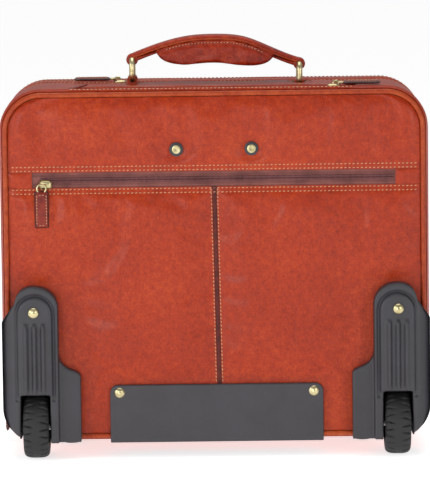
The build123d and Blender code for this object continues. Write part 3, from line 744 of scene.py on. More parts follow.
# %% [markdown]
# ## Thread
# A sewing machine leaves a row of short, plump stitches, each one sinking into its needle hole at both
# ends. One stitch is modelled from a small sphere and repeated with an Array. The straight row is then laid
# along the seam: a route function says, for each distance along the row, where it is and which way is out.

# %% A row of stitches along any route
STITCH = (2.5, 1.15, 1.0)
FINE_STITCH = (2.2, 0.9, 0.8)


def stitch_row(name, route, length, pitch=4.1 * MM, size=STITCH, slant=0.15):
    """Stitches laid along route(distance), which gives a point, the way across and the way out."""
    deselect()
    bpy.ops.mesh.primitive_uv_sphere_add(segments=6, ring_count=4, radius=0.5, rotation=(0, math.pi / 2, 0))
    bpy.context.object.scale = (size[2] * MM, size[1] * MM, size[0] * MM)
    row = settle(name)
    reshape(row, lambda co: Vector((co.x, co.y + slant * co.x, co.z)))
    count = max(1, int(length / pitch))
    modify(row, "ARRAY", count=count, use_relative_offset=False, use_constant_offset=True,
           constant_offset_displace=(pitch, 0, 0))
    start = (length - (count - 1) * pitch) / 2

    def laid(co):
        point, across, out = route(start + co.x)
        return Vector(point) + Vector(across) * co.y + Vector(out) * co.z

    reshape(row, laid)
    hold(row)
    bpy.ops.object.shade_smooth()
    return row


def sew(name, route, length, body="case", material=None, slot="tan_leather", **settings):
    """A row of stitches that is finished as a piece of its own."""
    row = stitch_row(name, route, length, **settings)
    finish_piece(row, body, material or THREAD)
    return row


def sink_onto(row, *panels):
    """Move each stitch of a rear row so that it lies on the panels' real surface."""
    for vert in row.data.vertices:
        origin = (vert.co.x, REAR - 0.1, vert.co.z)
        hits = [panel.ray_cast(origin, (0, 1, 0)) for panel in panels]
        faces = [place.y for found, place, _, _ in hits if found]
        if faces:
            vert.co.y += min(faces) - REAR + 0.1 * MM


def straight(start, end, out):
    """A route along a straight line."""
    start, end, out = Vector(start), Vector(end), Vector(out)
    along = (end - start).normalized()
    across = out.cross(along)

    def route(distance):
        return start + along * distance, across, out

    return route, (end - start).length


def sew_line(name, start, end, out, **settings):
    """Stitches along a straight line."""
    route, length = straight(start, end, out)
    return sew(name, route, length, **settings)


# %% [markdown]
# ## Stitching the rear face
# Two rows run above the zip and two below it, and one on each side of the centre seam. A ray cast finds the
# leather under each stitch, so the rows follow the crown instead of sinking in.

# %% Stitches of the rear face
OUT_REAR = (0, -1, 0)
UP = (0, 0, 1)
SUNK = 0.1 * MM
bpy.context.view_layer.update()
for row_number, height in enumerate(ROWS_ABOVE + ROWS_BELOW, start=1):
    edge = half_width(height, INSET) - 1.5 * MM
    row = sew_line("stitches_rear_row_%d" % row_number, (-edge, REAR - SUNK, height),
                   (edge, REAR - SUNK, height), OUT_REAR)
    sink_onto(row, upper, lower_left, lower_right)
for side_name, side in (("left", -1), ("right", 1)):
    offset = side * (SEAM_HALF + 1.0 * MM)
    low_end = (lean(SKID_TOP) + offset, REAR - SUNK, SKID_TOP)
    high_end = (offset, REAR - SUNK, ZIP_BOTTOM - 0.5 * MM)
    row = sew_line("stitches_centre_%s" % side_name, low_end, high_end, OUT_REAR, pitch=3.7 * MM,
                   slot="seam_leather")
    sink_onto(row, lower_left, lower_right)
    for step in (3.0, 7.5):
        x = side * ((zip_high.x if side > 0 else -zip_low.x) + step * MM)
        sew_line("stitches_patch_%s_%d" % (side_name, int(step)), (x, REAR - SUNK, ZIP_BOTTOM + 1 * MM),
                 (x, REAR - SUNK, ZIP_TOP - 1 * MM), OUT_REAR, pitch=3.4 * MM)

# %% [markdown]
# ## The rear zip
# A nylon coil zip has two woven tapes, and two coils that hook into each other along the middle. From
# outside you see a few fine ridges running along it. The tape is a strip whose section we shape with a
# formula, and each coil is a row of small loops, laid by the same function that lays stitches.

# %% Zip tape and coil
def ridged(distance, half):
    """Height of a zip tape's face across its width: folded edges, two cords and a flat middle."""
    away = abs(distance)
    cord = 0.5 * MM * math.exp(-((away - 0.55 * half) / (0.9 * MM)) ** 2)
    hem = -0.4 * MM * max(0.0, (away - 0.8 * half) / (0.2 * half))
    return cord + hem


zip_middle = (ZIP_BOTTOM + ZIP_TOP) / 2
zip_half = (ZIP_TOP - ZIP_BOTTOM) / 2
tape = wall_grid("zip_tape_rear", zip_low.x, zip_high.x, ZIP_BOTTOM - 0.3 * MM, ZIP_TOP + 0.3 * MM,
                 REAR + 1.0 * MM, 1.1 * MM)
reshape(tape, lambda co: Vector((co.x, co.y - ridged(co.z - zip_middle, zip_half), co.z)))
modify(tape, "SOLIDIFY", thickness=0.8 * MM, offset=-1.0)
smooth(tape)
finish_piece(tape, "case", TAPE, ["rear_zip_tape"])
for side_name, side in (("upper", 1), ("lower", -1)):
    z = zip_middle + side * 1.35 * MM
    sew_line("zip_coil_rear_" + side_name, (zip_low.x + 8 * MM, REAR + 0.5 * MM, z),
             (zip_high.x - 1 * MM, REAR + 0.5 * MM, z), OUT_REAR, pitch=1.35 * MM, size=(1.25, 2.9, 1.3),
             material=COIL, slot="zip_tape")

# %% [markdown]
# ## Centre seam and zip end patches
# Down the middle the two lower panels meet over a narrow dark strip, rolled into a soft ridge. Small
# leather patches close the zip at both ends. Both are grids with a formula for their swell.

# %% Centre strip and patches
strip = wall_grid("leather_centre_strip", -SEAM_HALF - 0.6 * MM, SEAM_HALF + 0.6 * MM, BOTTOM + INSET,
                  ZIP_BOTTOM - 0.5 * MM, REAR + 0.5 * MM, 0.8 * MM)


def strip_shape(co):
    """Lean with the seam, and rise to a soft ridge in the middle."""
    swell = 0.9 * MM * math.cos(min(1.0, abs(co.x) / SEAM_HALF) * math.pi / 2)
    ripple = 0.15 * MM * math.sin(co.z * 400)
    return Vector((co.x + lean(co.z), co.y - swell - ripple, co.z))


reshape(strip, strip_shape)
modify(strip, "SOLIDIFY", thickness=1.0 * MM, offset=-1.0)
smooth(strip)
finish_piece(strip, "case", SEAM, ["rear_centre_strip"])

patches = []
for side in (-1, 1):
    inner = zip_high.x if side > 0 else zip_low.x
    outer = side * half_width(zip_middle, INSET)
    low_x, high_x = sorted((inner, outer))
    patch = wall_grid("patch", low_x, high_x, ZIP_BOTTOM + 0.2 * MM, ZIP_TOP - 0.2 * MM, REAR, 1.2 * MM)

    def swell(co, low_x=low_x, high_x=high_x):
        u = (co.x - low_x) / (high_x - low_x)
        v = (co.z - ZIP_BOTTOM) / (ZIP_TOP - ZIP_BOTTOM)
        return Vector((co.x, co.y - dome(u, v, 0.9 * MM, 0.2, 0.3), co.z))

    reshape(patch, swell)
    modify(patch, "SOLIDIFY", thickness=1.6 * MM, offset=-1.0)
    patches.append(patch)
patches = merge("leather_zip_patches", patches)
smooth(patches)
finish_piece(patches, "case", TAN, ["rear_zip_end_patches"])
print("rear face sewn")

# %% [markdown]
# ## A line right round the case
# Gussets, welts and the long zips all follow the same rounded outline. A piece that follows it starts as a
# flat grid, with distance along one side, and a function bends it round. Writing the outline once, as
# straight and curved runs, keeps all those pieces exactly parallel.

# %% Following the outline
QUARTER = math.pi / 2
SIDE_RUN = TOP - BOTTOM - TOP_RADIUS - BOTTOM_RADIUS
RUNS = [(HALF - BOTTOM_RADIUS, 0), (QUARTER * BOTTOM_RADIUS, BOTTOM_RADIUS), (SIDE_RUN, 0),
        (QUARTER * TOP_RADIUS, TOP_RADIUS), (2 * (HALF - TOP_RADIUS), 0), (QUARTER * TOP_RADIUS, TOP_RADIUS),
        (SIDE_RUN, 0), (QUARTER * BOTTOM_RADIUS, BOTTOM_RADIUS), (HALF - BOTTOM_RADIUS, 0)]
ROUND = sum(length for length, radius in RUNS)
CORNER_END = RUNS[0][0] + RUNS[1][0]
ROUND_BAND = ROUND - 2 * CORNER_END


def around(distance, out=0.0, y=0.0):
    """The outline's point at a distance from the bottom's middle, moved outwards, and the way out there."""
    distance %= ROUND
    place = Vector((0, 0, BOTTOM))
    heading = 0.0
    for length, radius in RUNS:
        step = min(distance, length)
        if radius:
            middle = place + radius * Vector((-math.sin(heading), 0, math.cos(heading)))
            heading += step / radius
            place = middle + radius * Vector((math.sin(heading), 0, -math.cos(heading)))
        else:
            place = place + step * Vector((math.cos(heading), 0, math.sin(heading)))
        distance -= length
        if distance <= 0:
            break
    normal = Vector((math.sin(heading), 0, -math.cos(heading)))
    return place + out * normal + Vector((0, y, 0)), normal


def rim(start, y, out=0.0):
    """A route round the case at one depth."""
    def route(distance):
        point, normal = around(start + distance, out, y)
        return point, (0, 1, 0), normal
    return route


def unit_grid(name, along, deep):
    """A grid primitive from 0 to 1 both ways."""
    deselect()
    bpy.ops.mesh.primitive_grid_add(x_subdivisions=along, y_subdivisions=deep, size=1, location=(0.5, 0.5, 0))
    return settle(name)


def hoop(name, start, end, y0, y1, swell=1.6 * MM, waves=0.5 * MM, thickness=1.8 * MM, out=0.0, step=4 * MM):
    """A band of leather bent round the outline, crowned across its width, with soft waves along it."""
    band = unit_grid(name, max(8, round((end - start) / step)), max(4, round((y1 - y0) / step)))

    def wrapped(co):
        crown = dome(0.5, co.y, 1.0, 0.5, min(0.4, 6 * MM / (y1 - y0)))
        wave = noise.noise(Vector((co.x * (end - start) * 16, co.y * (y1 - y0) * 26, y0 * 100)))
        rise = out + crown * (swell + waves * wave)
        point, _ = around(end - co.x * (end - start), rise, y0 + co.y * (y1 - y0))
        return point

    reshape(band, wrapped)
    modify(band, "SOLIDIFY", thickness=thickness, offset=-1.0)
    smooth(band, 50)
    return band


def tube(name, route, length, radius, step=5 * MM, sides=10):
    """A round tube along a route: a grid rolled up, welded along its seam and closed at its ends."""
    pipe = unit_grid(name, max(3, round(length / step)), sides)

    def rolled(co):
        point, across, out = route(co.x * length)
        angle = 2 * math.pi * co.y
        return Vector(point) + radius * (math.cos(angle) * Vector(across) + math.sin(angle) * Vector(out))

    reshape(pipe, rolled)
    seal(pipe, sides)
    smooth(pipe, 60)
    return pipe


def cut(piece, *boxes):
    """Cut box-shaped openings out of a piece."""
    for low, high in boxes:
        cutter = block("cutter", low, high)
        modify(piece, "BOOLEAN", object=cutter, operation="DIFFERENCE", solver="EXACT")
        bpy.data.objects.remove(cutter)


print("outline is", round(ROUND, 3), "m round")

# %% [markdown]
# ## Gussets, welts and side panels
# The gusset is the wide band of leather that makes the case's depth. It is cut for the trolley slot, the
# handle's bases and the wheel wells with boolean boxes. A welt, a cord wrapped in leather, covers the seam
# between gusset and rear panel, and a thinner roll runs next to it. More bands make the front half.

# %% Places on the frame
slot_low, slot_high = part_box("trolley_zip_tape")
bases_low, bases_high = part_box("handle_bases")
tyre_low, tyre_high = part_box("tyre_right")
TUB_REAR = top_low.y
TUB_FRONT = top_high.y
BASE_HALF = 12 * MM
WELL_TOP = 68.5 * MM
ring_places = {}
for side_name in ("left", "right"):
    ring_low, ring_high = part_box("handle_ring_" + side_name)
    ring_middle = (ring_low + ring_high) / 2
    ring_places[side_name] = (ring_middle.x, ring_middle.y, ring_high.z - 3 * MM)
HANDLE_Y = ring_places["left"][1]
wells = []
for side in (-1, 1):
    well_x = sorted((side * (tyre_low.x - 4 * MM), side * (tyre_high.x + 30 * MM)))
    wells.append(((well_x[0], -0.2, -0.05), (well_x[1], tyre_high.y + 5 * MM, WELL_TOP)))
openings = list(wells) + [((slot_low.x, slot_low.y, TOP - 0.02), (slot_high.x, slot_high.y, TOP + 0.02))]
for x, y, z in ring_places.values():
    openings.append(((x - BASE_HALF, bases_low.y, TOP - 0.02), (x + BASE_HALF, bases_high.y, TOP + 0.02)))
print("openings to cut:", len(openings))

# %% [markdown]
# ## Bending the bands
# Each band runs from one bottom corner over the top to the other, and a second, flatter one closes the
# bottom. They could be one loop, but the bottom takes the knocks, so it is a piece of its own on a real
# case too.

# %% Gusset bands
gusset = hoop("leather_gusset_rear", CORNER_END, ROUND - CORNER_END, TUB_REAR, TUB_FRONT, 2.0 * MM, 1.0 * MM)
cut(gusset, *openings)
finish_piece(gusset, "case", TAN, ["top_gusset", "side_gusset_left", "side_gusset_right"])
bottom = hoop("leather_bottom", -CORNER_END, CORNER_END, TUB_REAR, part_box("main_zip_tape_rear")[1].y,
              0.8 * MM)
cut(bottom, *wells)
finish_piece(bottom, "case", TAN, ["bottom_panel"])
section = hoop("leather_gusset_section", CORNER_END, ROUND - CORNER_END, section_low.y + 5.8 * MM,
               section_high.y - 5.8 * MM, 2.0 * MM, 1.0 * MM)
finish_piece(section, "front_section", TAN, ["front_section_gusset"])
section_base = hoop("leather_section_base", -CORNER_END, CORNER_END, section_low.y, section_high.y, 0.8 * MM)
finish_piece(section_base, "front_section", TAN)
lid = hoop("leather_gusset_lid", CORNER_END, ROUND - CORNER_END, lid_low.y + 5.8 * MM, lid_high.y, 1.4 * MM)
finish_piece(lid, "front_lid", TAN, ["front_lid_gusset"])
lid_base = hoop("leather_lid_base", -CORNER_END, CORNER_END, lid_low.y, lid_high.y, 0.8 * MM)
finish_piece(lid_base, "front_lid", TAN)

# %% [markdown]
# ## Welts, rolls and their stitches
# The welt is the cord that you see all along the rear edge. A tube along the outline is enough for it. It
# stops at the wheel housings, and a short length of it goes on between them along the bottom.

# %% Welts and edge rolls
WELT_RADIUS = 2.6 * MM
WELT_INSET = 3.6 * MM
rear_welt_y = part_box("rear_piping")[0].y + WELT_RADIUS
front_welt_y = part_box("front_piping")[1].y - WELT_RADIUS
WELL_SKIP = RUNS[0][0] + 18 * MM
welts = [tube("welt", rim(WELL_SKIP, rear_welt_y, -WELT_INSET), ROUND - 2 * WELL_SKIP, WELT_RADIUS),
         tube("welt", rim(-0.160, rear_welt_y, -WELT_INSET), 0.320, WELT_RADIUS)]
rear_welt = merge("welt_rear", welts)
finish_piece(rear_welt, "case", WELT, ["rear_piping"])
front_welt = tube("welt_front", rim(0, front_welt_y, -WELT_INSET), ROUND - 1 * MM, WELT_RADIUS)
finish_piece(front_welt, "front_lid", WELT, ["front_piping"])
edge_roll = tube("edge_roll_rear", rim(WELL_SKIP, REAR + 7.5 * MM, 0.2 * MM), ROUND - 2 * WELL_SKIP, 2.0 * MM)
finish_piece(edge_roll, "case", TAN)
section_roll = tube("edge_roll_section", rim(CORNER_END, section_low.y + 9 * MM, 0.2 * MM), ROUND_BAND,
                    1.8 * MM)
finish_piece(section_roll, "front_section", TAN)
GUSSET_ROWS = (("rear", TUB_FRONT - 3 * MM, "case"),
               ("section_a", section_low.y + 13 * MM, "front_section"),
               ("section_b", section_high.y - 9 * MM, "front_section"),
               ("lid", lid_low.y + 9 * MM, "front_lid"))
for name, y, body in GUSSET_ROWS:
    sew("stitches_gusset_" + name, rim(CORNER_END, y, 1.6 * MM), ROUND_BAND, body)

# %% [markdown]
# ## Side panels
# Each side of the case has a padded panel sewn on. It is one more upright grid, turned to face sideways and
# crowned by the same dome.

# %% Side panels
def flank(name, side, y0, y1, z0, z1, rise):
    """A padded panel on a side of the case."""
    panel = wall_grid(name, y0, y1, z0, z1, 0, 4 * MM, side)

    def turned(co):
        u = (co.x - y0) / (y1 - y0)
        v = (co.z - z0) / (z1 - z0)
        deep = co.x if side > 0 else y0 + y1 - co.x
        return Vector((side * (HALF + dome(u, v, rise, 0.1, 0.04)), deep, co.z))

    reshape(panel, turned)
    modify(panel, "SOLIDIFY", thickness=1.0 * MM, offset=-1.0)
    outward(panel)
    smooth(panel, 50)
    return panel


flank_low, flank_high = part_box("side_panels")
flanks = []
for side_name, side in (("left", -1), ("right", 1)):
    flanks.append(flank("flank", side, flank_low.y, flank_high.y, flank_low.z, flank_high.z, 3.0 * MM))
    face = side * (HALF + 2.3 * MM)
    ends = (flank_low.y + 3 * MM, flank_high.y - 3 * MM)
    for number, y in enumerate(ends):
        sew_line("stitches_flank_%s_%d" % (side_name, number), (face, y, flank_low.z),
                 (face, y, flank_high.z), (side, 0, 0))
    sew_line("stitches_flank_%s_top" % side_name, (face, ends[0], flank_high.z - 3 * MM),
             (face, ends[1], flank_high.z - 3 * MM), (side, 0, 0))
finish_piece(merge("leather_side_panels", flanks), "case", TAN, ["side_panels"])
print("gussets and welts done")

# %% [markdown]
# ## The long zips
# The main zip and the laptop zip run up one side, over the top and down the other. Each tape belongs to its
# own half of the case, so it moves away with that half. Each half carries one coil.

# %% Long zips
COIL_PITCH = 1.7 * MM
COIL_LOOP = (1.5, 2.6, 1.4)
LONG_ZIPS = (("main_rear", 1, "case"), ("main_front", -1, "front_section"),
             ("laptop_rear", 1, "front_section"), ("laptop_front", -1, "front_lid"))
for name, side, body in LONG_ZIPS:
    zip_name, half_name = name.split("_")
    tape_node = "%s_zip_tape_%s" % (zip_name, half_name)
    tape_low, tape_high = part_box(tape_node)
    band = hoop("zip_tape_" + name, CORNER_END, ROUND - CORNER_END, tape_low.y, tape_high.y, 0.3 * MM, 0.0,
                1.0 * MM, -1.0 * MM)
    finish_piece(band, body, TAPE, [tape_node])
    coil_y = (tape_high.y if side > 0 else tape_low.y) - side * 1.3 * MM
    sew("zip_coil_" + name, rim(CORNER_END, coil_y, -0.8 * MM), ROUND_BAND, body, COIL, "zip_tape",
        pitch=COIL_PITCH, size=COIL_LOOP, slant=0.0)
print("long zips:", len(LONG_ZIPS))

# %% [markdown]
# ## The trolley slot
# The trolley's tubes come out of a slot in the top, which has its own zip. Its tape lies flat and is cut
# open along the middle. A rolled leather lip runs along each side, and a folded tab closes each end.

# %% Trolley slot
tape_y = (slot_low.y + slot_high.y) / 2
trolley_tape = unit_grid("zip_tape_trolley", 70, 12)
reshape(trolley_tape, lambda co: Vector((slot_low.x + co.x * (slot_high.x - slot_low.x),
                                         slot_low.y + co.y * (slot_high.y - slot_low.y),
                                         slot_high.z - 0.3 * MM * math.sin(co.y * 40))))
modify(trolley_tape, "SOLIDIFY", thickness=1.0 * MM, offset=-1.0)
SLOT_HALF = 10 * MM
SLOT_END = 104 * MM
cut(trolley_tape, ((slot_low.x + 4 * MM, tape_y - SLOT_HALF, TOP - 0.02),
                   (SLOT_END, tape_y + SLOT_HALF, TOP + 0.02)))
finish_piece(trolley_tape, "case", TAPE, ["trolley_zip_tape"])
for number, side in enumerate((-1, 1)):
    y = tape_y + side * (SLOT_HALF + 4.5 * MM)
    route, length = straight((slot_low.x, y, TOP + 0.4 * MM), (slot_high.x, y, TOP + 0.4 * MM), UP)
    lip = tube("slot_lip_%d" % number, route, length, 1.7 * MM)
    finish_piece(lip, "case", TAN)
    y = tape_y + side * (SLOT_HALF + 0.6 * MM)
    sew_line("zip_coil_trolley_%d" % number, (slot_low.x + 4 * MM, y, slot_high.z),
             (SLOT_END, y, slot_high.z), UP, material=COIL, slot="zip_tape", pitch=COIL_PITCH,
             size=COIL_LOOP, slant=0.0)
    y = tape_y + side * (SLOT_HALF + 8 * MM)
    sew_line("stitches_slot_%d" % number, (slot_low.x, y, TOP + 1.7 * MM),
             (slot_high.x, y, TOP + 1.7 * MM), UP)


def end_tab(name, x, turn):
    """A folded leather tab sewn diagonally over the end of the trolley zip."""
    tab = block(name, (-15 * MM, -3 * MM, -0.8 * MM), (15 * MM, 3 * MM, 0.8 * MM))
    soften(tab, 0.7 * MM, 3)
    flat = Quaternion((0, 0, 1), turn) @ Quaternion((0, 1, 0), math.copysign(0.14, -turn))
    reshape(tab, lambda co: flat @ co + Vector((x, tape_y, TOP + 2.6 * MM)))
    smooth(tab)
    finish_piece(tab, "case", TAB)


end_tab("zip_end_tab_left", slot_low.x + 7 * MM, 0.9)
end_tab("zip_end_tab_right", slot_high.x - 3 * MM, -0.9)
print("zips done")

# %% [markdown]
# ## Wheel housings and skid plate
# The housings are injection moulded: every edge is round and the surfaces flow into each other. The frame's
# own solid has the right walls and holes but sharp edges. So a copy of it is cut back where the flange lies
# lower, then remeshed into a fine even skin and relaxed, which rounds every edge like a mould does.

# %% Moulded housings
ARCH_X = 181 * MM
ARCH_Z = 147.5 * MM
FLANGE_INNER = 130 * MM
FLANGE_OUTER = 158 * MM
GROOVE_RADIUS = 18.6 * MM
GROOVE_LOW = 60 * MM
SLOPE_START = 200.5 * MM
RIB_GAP = 8.7 * MM
RIB_TOP = 139 * MM


def housing(side_name, side):
    """A moulded copy of one housing: lower flange, recessed arch and softened edges."""
    shell = twin(nodes["wheel_housing_" + side_name], "housing_" + side_name)
    shell.parent = None
    low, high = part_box("wheel_housing_" + side_name)
    flange = sorted((side * FLANGE_OUTER, side * FLANGE_INNER))
    cut(shell, ((flange[0], low.y - 0.01, 0.0), (flange[1], low.y + 10 * MM, 0.2)))
    modify(shell, "REMESH", mode="VOXEL", voxel_size=1.1 * MM)
    middle = side * ARCH_X
    face = low.y + 3.2 * MM

    def moulded_face(co):
        """A raised border round the arch, and a slope down to the case's outer side."""
        if co.y > face + 3 * MM:
            return co
        away = math.hypot(co.x - middle, max(0.0, co.z - ARCH_Z))
        groove = math.exp(-((away - GROOVE_RADIUS) / (1.7 * MM)) ** 2) if co.z > GROOVE_LOW else 0.0
        outer = max(0.0, side * co.x - SLOPE_START)
        ends = max(0.0, min(1.0, (co.z - WELL_TOP) / (4 * MM), (RIB_TOP - co.z) / (6 * MM)))
        ribs = sum(math.exp(-((co.x - middle - step * RIB_GAP) / (2.3 * MM)) ** 4) for step in (-1, 0, 1))
        return Vector((co.x, co.y + 2.6 * MM * groove + 0.7 * outer - 1.5 * MM * ends * ribs, co.z))

    reshape(shell, moulded_face)
    modify(shell, "SMOOTH", factor=0.5, iterations=3)
    smooth(shell, 70)
    finish_piece(shell, "case", ABS, ["wheel_housing_" + side_name])
    print(shell.name, "faces:", len(shell.data.polygons))


for side_name, side in (("left", -1), ("right", 1)):
    housing(side_name, side)
for panel in (lower_left, lower_right):
    cut(panel, *wells)

# %% [markdown]
# ## Skid plate and small fittings
# The skid plate gets the same treatment as the housings. Rivets, screws, hubs and tubes already have their
# true shape in the frame, so they only get rounded edges.

# %% Skid plate, and rounded edges on the frame's fittings
plate = twin(nodes["skid_plate"], "skid_plate_moulded")
plate.parent = None
modify(plate, "REMESH", mode="VOXEL", voxel_size=1.2 * MM)
modify(plate, "SMOOTH", factor=0.5, iterations=5)
smooth(plate, 70)
finish_piece(plate, "case", SKID, ["skid_plate"])
EDGE_WIDTHS_MM = {
    0.1: ("handle_ring_left", "handle_ring_right"),
    0.2: ("brass_rivets", "trolley_outer_tubes", "trolley_middle_tubes", "trolley_inner_tubes"),
    0.3: ("bracket_screws",),
    0.4: ("bearings_left", "bearings_right", "wheel_axles"),
    0.6: ("screw_washers",),
    0.8: ("release_button", "trolley_brackets", "handle_bases"),
    1.2: ("front_feet",),
    1.5: ("hub_left", "hub_right"),
    1.8: ("trolley_grip",)}
for width, names in EDGE_WIDTHS_MM.items():
    for name in names:
        round_cad(name, width)
print("rounded nodes:", sum(len(names) for names in EDGE_WIDTHS_MM.values()))

# %% [markdown]
# ## Tyres
# Each tyre is turned like a lathe piece. A grid goes round the axle one way and across the tread the other
# way. The shoulders have zigzag grooves that leave a smooth band in the middle, so the formula for the
# radius takes away a little rubber near each groove's centre line.

# %% Treaded tyres
TREADS = 26
RIM_RADIUS = 23 * MM
SMOOTH_BAND = 3.2 * MM


def treaded(name, node_name, body):
    """A tyre with zigzag shoulder grooves."""
    low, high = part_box(node_name)
    centre = (low + high) / 2
    outer = (high.z - low.z) / 2
    half = (high.x - low.x) / 2
    tyre = unit_grid(name, 312, 26)

    def lathed(co):
        angle = 2 * math.pi * co.x
        across = math.pi * co.y
        x = half * math.copysign(abs(math.cos(across)) ** 0.62, math.cos(across))
        radius = RIM_RADIUS + (outer - RIM_RADIUS) * math.sin(across) ** 0.55
        shoulder = (abs(x) - SMOOTH_BAND) / (half - SMOOTH_BAND)
        if shoulder > 0 and math.sin(across) > 0.05:
            turns = TREADS * co.x + (0.5 if x > 0 else 0.0)
            nearest = round(turns)
            zigzag = 0.28 * (shoulder - 0.5) * (-1) ** nearest
            gap = abs(turns - nearest - zigzag) * 2 * math.pi * outer / TREADS
            radius -= 1.9 * MM * max(0.0, 1 - gap / (1.3 * MM)) * min(1.0, 4 * shoulder)
        return centre + Vector((x, radius * math.sin(angle), radius * math.cos(angle)))

    reshape(tyre, lathed)
    seal(tyre)
    smooth(tyre, 40)
    finish_piece(tyre, body, RUBBER, [node_name])


for side_name in ("left", "right"):
    treaded("treaded_tyre_" + side_name, "tyre_" + side_name, "wheel_" + side_name)
print("wheels done")

# %% [markdown]
# ## Zip sliders and pullers
# All five zips have the same hardware: a cast brass slider with a loop on its back, a wire ring through the
# loop, and a leather tab sewn round the ring. Each is modelled once with the hinge at the origin, lying
# along +X. Copies then go to the hinge points of the frame's joints.

# %% One slider and one puller
def subdivide(piece, cuts):
    """Divide all edges of a piece."""
    choose(piece, "EDGE", lambda c, d: True)
    bpy.ops.mesh.subdivide(number_cuts=cuts)
    bpy.ops.object.mode_set(mode="OBJECT")


def wire_ring(name, radius, wire_radius, segments, place, turn=(0, 0, 0)):
    """A ring of round wire."""
    deselect()
    bpy.ops.mesh.primitive_torus_add(major_radius=radius, minor_radius=wire_radius, major_segments=segments,
                                     minor_segments=8, location=place, rotation=turn)
    return settle(name)


def make_slider():
    """A tapered brass body with a wire loop on its back."""
    body = block("slider_model", (-10.4 * MM, -4.7 * MM, -5.3 * MM), (2.0 * MM, 4.7 * MM, -1.5 * MM))
    choose(body, "EDGE", lambda c, d: abs(d.z) > 0.9)
    bpy.ops.mesh.bevel(offset=3.0 * MM, segments=4)
    bpy.ops.object.mode_set(mode="OBJECT")
    soften(body, 0.8 * MM, 3)
    reshape(body, lambda co: Vector((co.x, co.y * (1 + 18 * co.x * (co.x < 0)), co.z)))
    loop = wire_ring("loop", 2.9 * MM, 0.95 * MM, 24, (-1.2 * MM, 0, -1.3 * MM), (math.pi / 2, 0, 0))
    slider = merge("slider_model", [body, loop])
    smooth(slider, 45)
    return slider


def make_bail():
    """The wire ring between slider and tab."""
    bail = wire_ring("bail_model", 4.5 * MM, 0.9 * MM, 32, (3.7 * MM, 0, 0))
    smooth(bail, 60)
    return bail


TAB_START = 6.6 * MM
TAB_END = 42.6 * MM
TAB_HALF = 6.5 * MM

def make_tab(name, grow, thick, crown):
    """One layer of the tab: rounded corners, and a crown over its middle."""
    x0, x1 = TAB_START - grow, TAB_END + grow
    half = TAB_HALF + grow
    tab = block(name, (x0, -half, -thick / 2), (x1, half, thick / 2))
    choose(tab, "EDGE", lambda c, d: abs(d.z) > 0.9)
    bpy.ops.mesh.bevel(offset=1.6 * MM, segments=3)
    bpy.ops.object.mode_set(mode="OBJECT")
    subdivide(tab, 5)

    def crowned(co):
        rise = crown * dome((co.x - x0) / (x1 - x0), (co.y + half) / (2 * half), 1.0, 0.12, 0.35)
        return Vector((co.x, co.y, co.z + math.copysign(rise, co.z)))

    reshape(tab, crowned)
    soften(tab, 0.35 * MM, 2, 50)
    smooth(tab, 40)
    return tab


def tab_stitches():
    """Stitches along both long sides and both ends of the tab, on its outer face."""
    first, last, edge, high = 9 * MM, 40.4 * MM, 4.7 * MM, 1.75 * MM
    lines = [((first, side * edge, high), (last, side * edge, high)) for side in (-1, 1)]
    lines += [((x, -4 * MM, high), (x, 4 * MM, high)) for x in (10 * MM, last)]
    rows = []
    for start, end in lines:
        route, length = straight(start, end, UP)
        rows.append(stitch_row("tab_row", route, length, 3.0 * MM, FINE_STITCH))
    return merge("stitch_model", rows)


PULLER_LAYERS = ((make_slider(), "slider", BRASS, "brass"), (make_bail(), "bail", BRASS, "brass"),
                 (make_tab("tab_model", 0.0, 3.0 * MM, 0.5 * MM), "tab", TAB, "tan_leather"),
                 (make_tab("edge_model", 0.5 * MM, 2.1 * MM, 0.0), "tab_edge", EDGE, "tan_leather"),
                 (tab_stitches(), "tab_stitches", THREAD, "tan_leather"))
print("slider and puller modelled")

# %% [markdown]
# ## Placing the hardware
# Each zip needs its hinge point, the way its puller hangs and the way out of the case. The rear slider lies
# along its zip while its puller hangs down, so those two are turned apart.

# %% Five zips get their hardware
PIVOTS = {joint["name"]: Vector(joint["pos_m"]) for joint in frame["joints"] if joint.get("pos_m")}
LEFT, RIGHT, DOWN, REARWARD = (-1, 0, 0), (1, 0, 0), (0, 0, -1), (0, -1, 0)
ZIPS = (("rear", "rear", "", DOWN, REARWARD), ("trolley", "trolley", "", RIGHT, UP),
        ("main_top", "main", "_top", LEFT, UP), ("main_side", "main", "_side", DOWN, LEFT),
        ("laptop", "laptop", "", DOWN, LEFT))
for name, zip_name, place, hang, out in ZIPS:
    pivot = PIVOTS["%s_puller%s_swing" % (zip_name, place)]
    out = Vector(out)
    for model, part_name, material, slot_name in PULLER_LAYERS:
        is_slider = part_name == "slider"
        lie = Vector(LEFT if is_slider and name == "rear" else hang)
        across = out.cross(lie)
        copy = twin(model, "%s_%s" % (part_name, name))
        reshape(copy, lambda co: pivot + lie * co.x + across * co.y + out * co.z)
        kind = "slider" if is_slider else "puller"
        stood = ["%s_zip_%s%s" % (zip_name, kind, place)] if part_name in ("slider", "tab") else []
        finish_piece(copy, "%s_%s%s" % (zip_name, kind, place), material, stood)
for model, part_name, material, slot_name in PULLER_LAYERS:
    bpy.data.objects.remove(model)
print("pullers placed")

# %% [markdown]
# ## The carry handle
# The handle is a strap over a stuffed grip. The strap's ends loop round the brass rings and are sewn back
# under themselves. To follow the frame exactly, rays dropped on the frame's strap give its height along the
# way.

# %% Strap and its loops
strap_low, strap_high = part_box("carry_handle_strap")
pad_low, pad_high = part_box("carry_handle_pad")
LEFT_RING = ring_places["left"]
RIGHT_RING = ring_places["right"]
bpy.context.view_layer.update()


def strap_height(x):
    """Height of the strap's top over the middle of its width."""
    x = min(max(x, strap_low.x + 1 * MM), strap_high.x - 1 * MM)
    found, place, _, _ = nodes["carry_handle_strap"].ray_cast((x, HANDLE_Y + 1 * MM, 0.6), (0, 0, -1))
    return place.z if found else strap_high.z


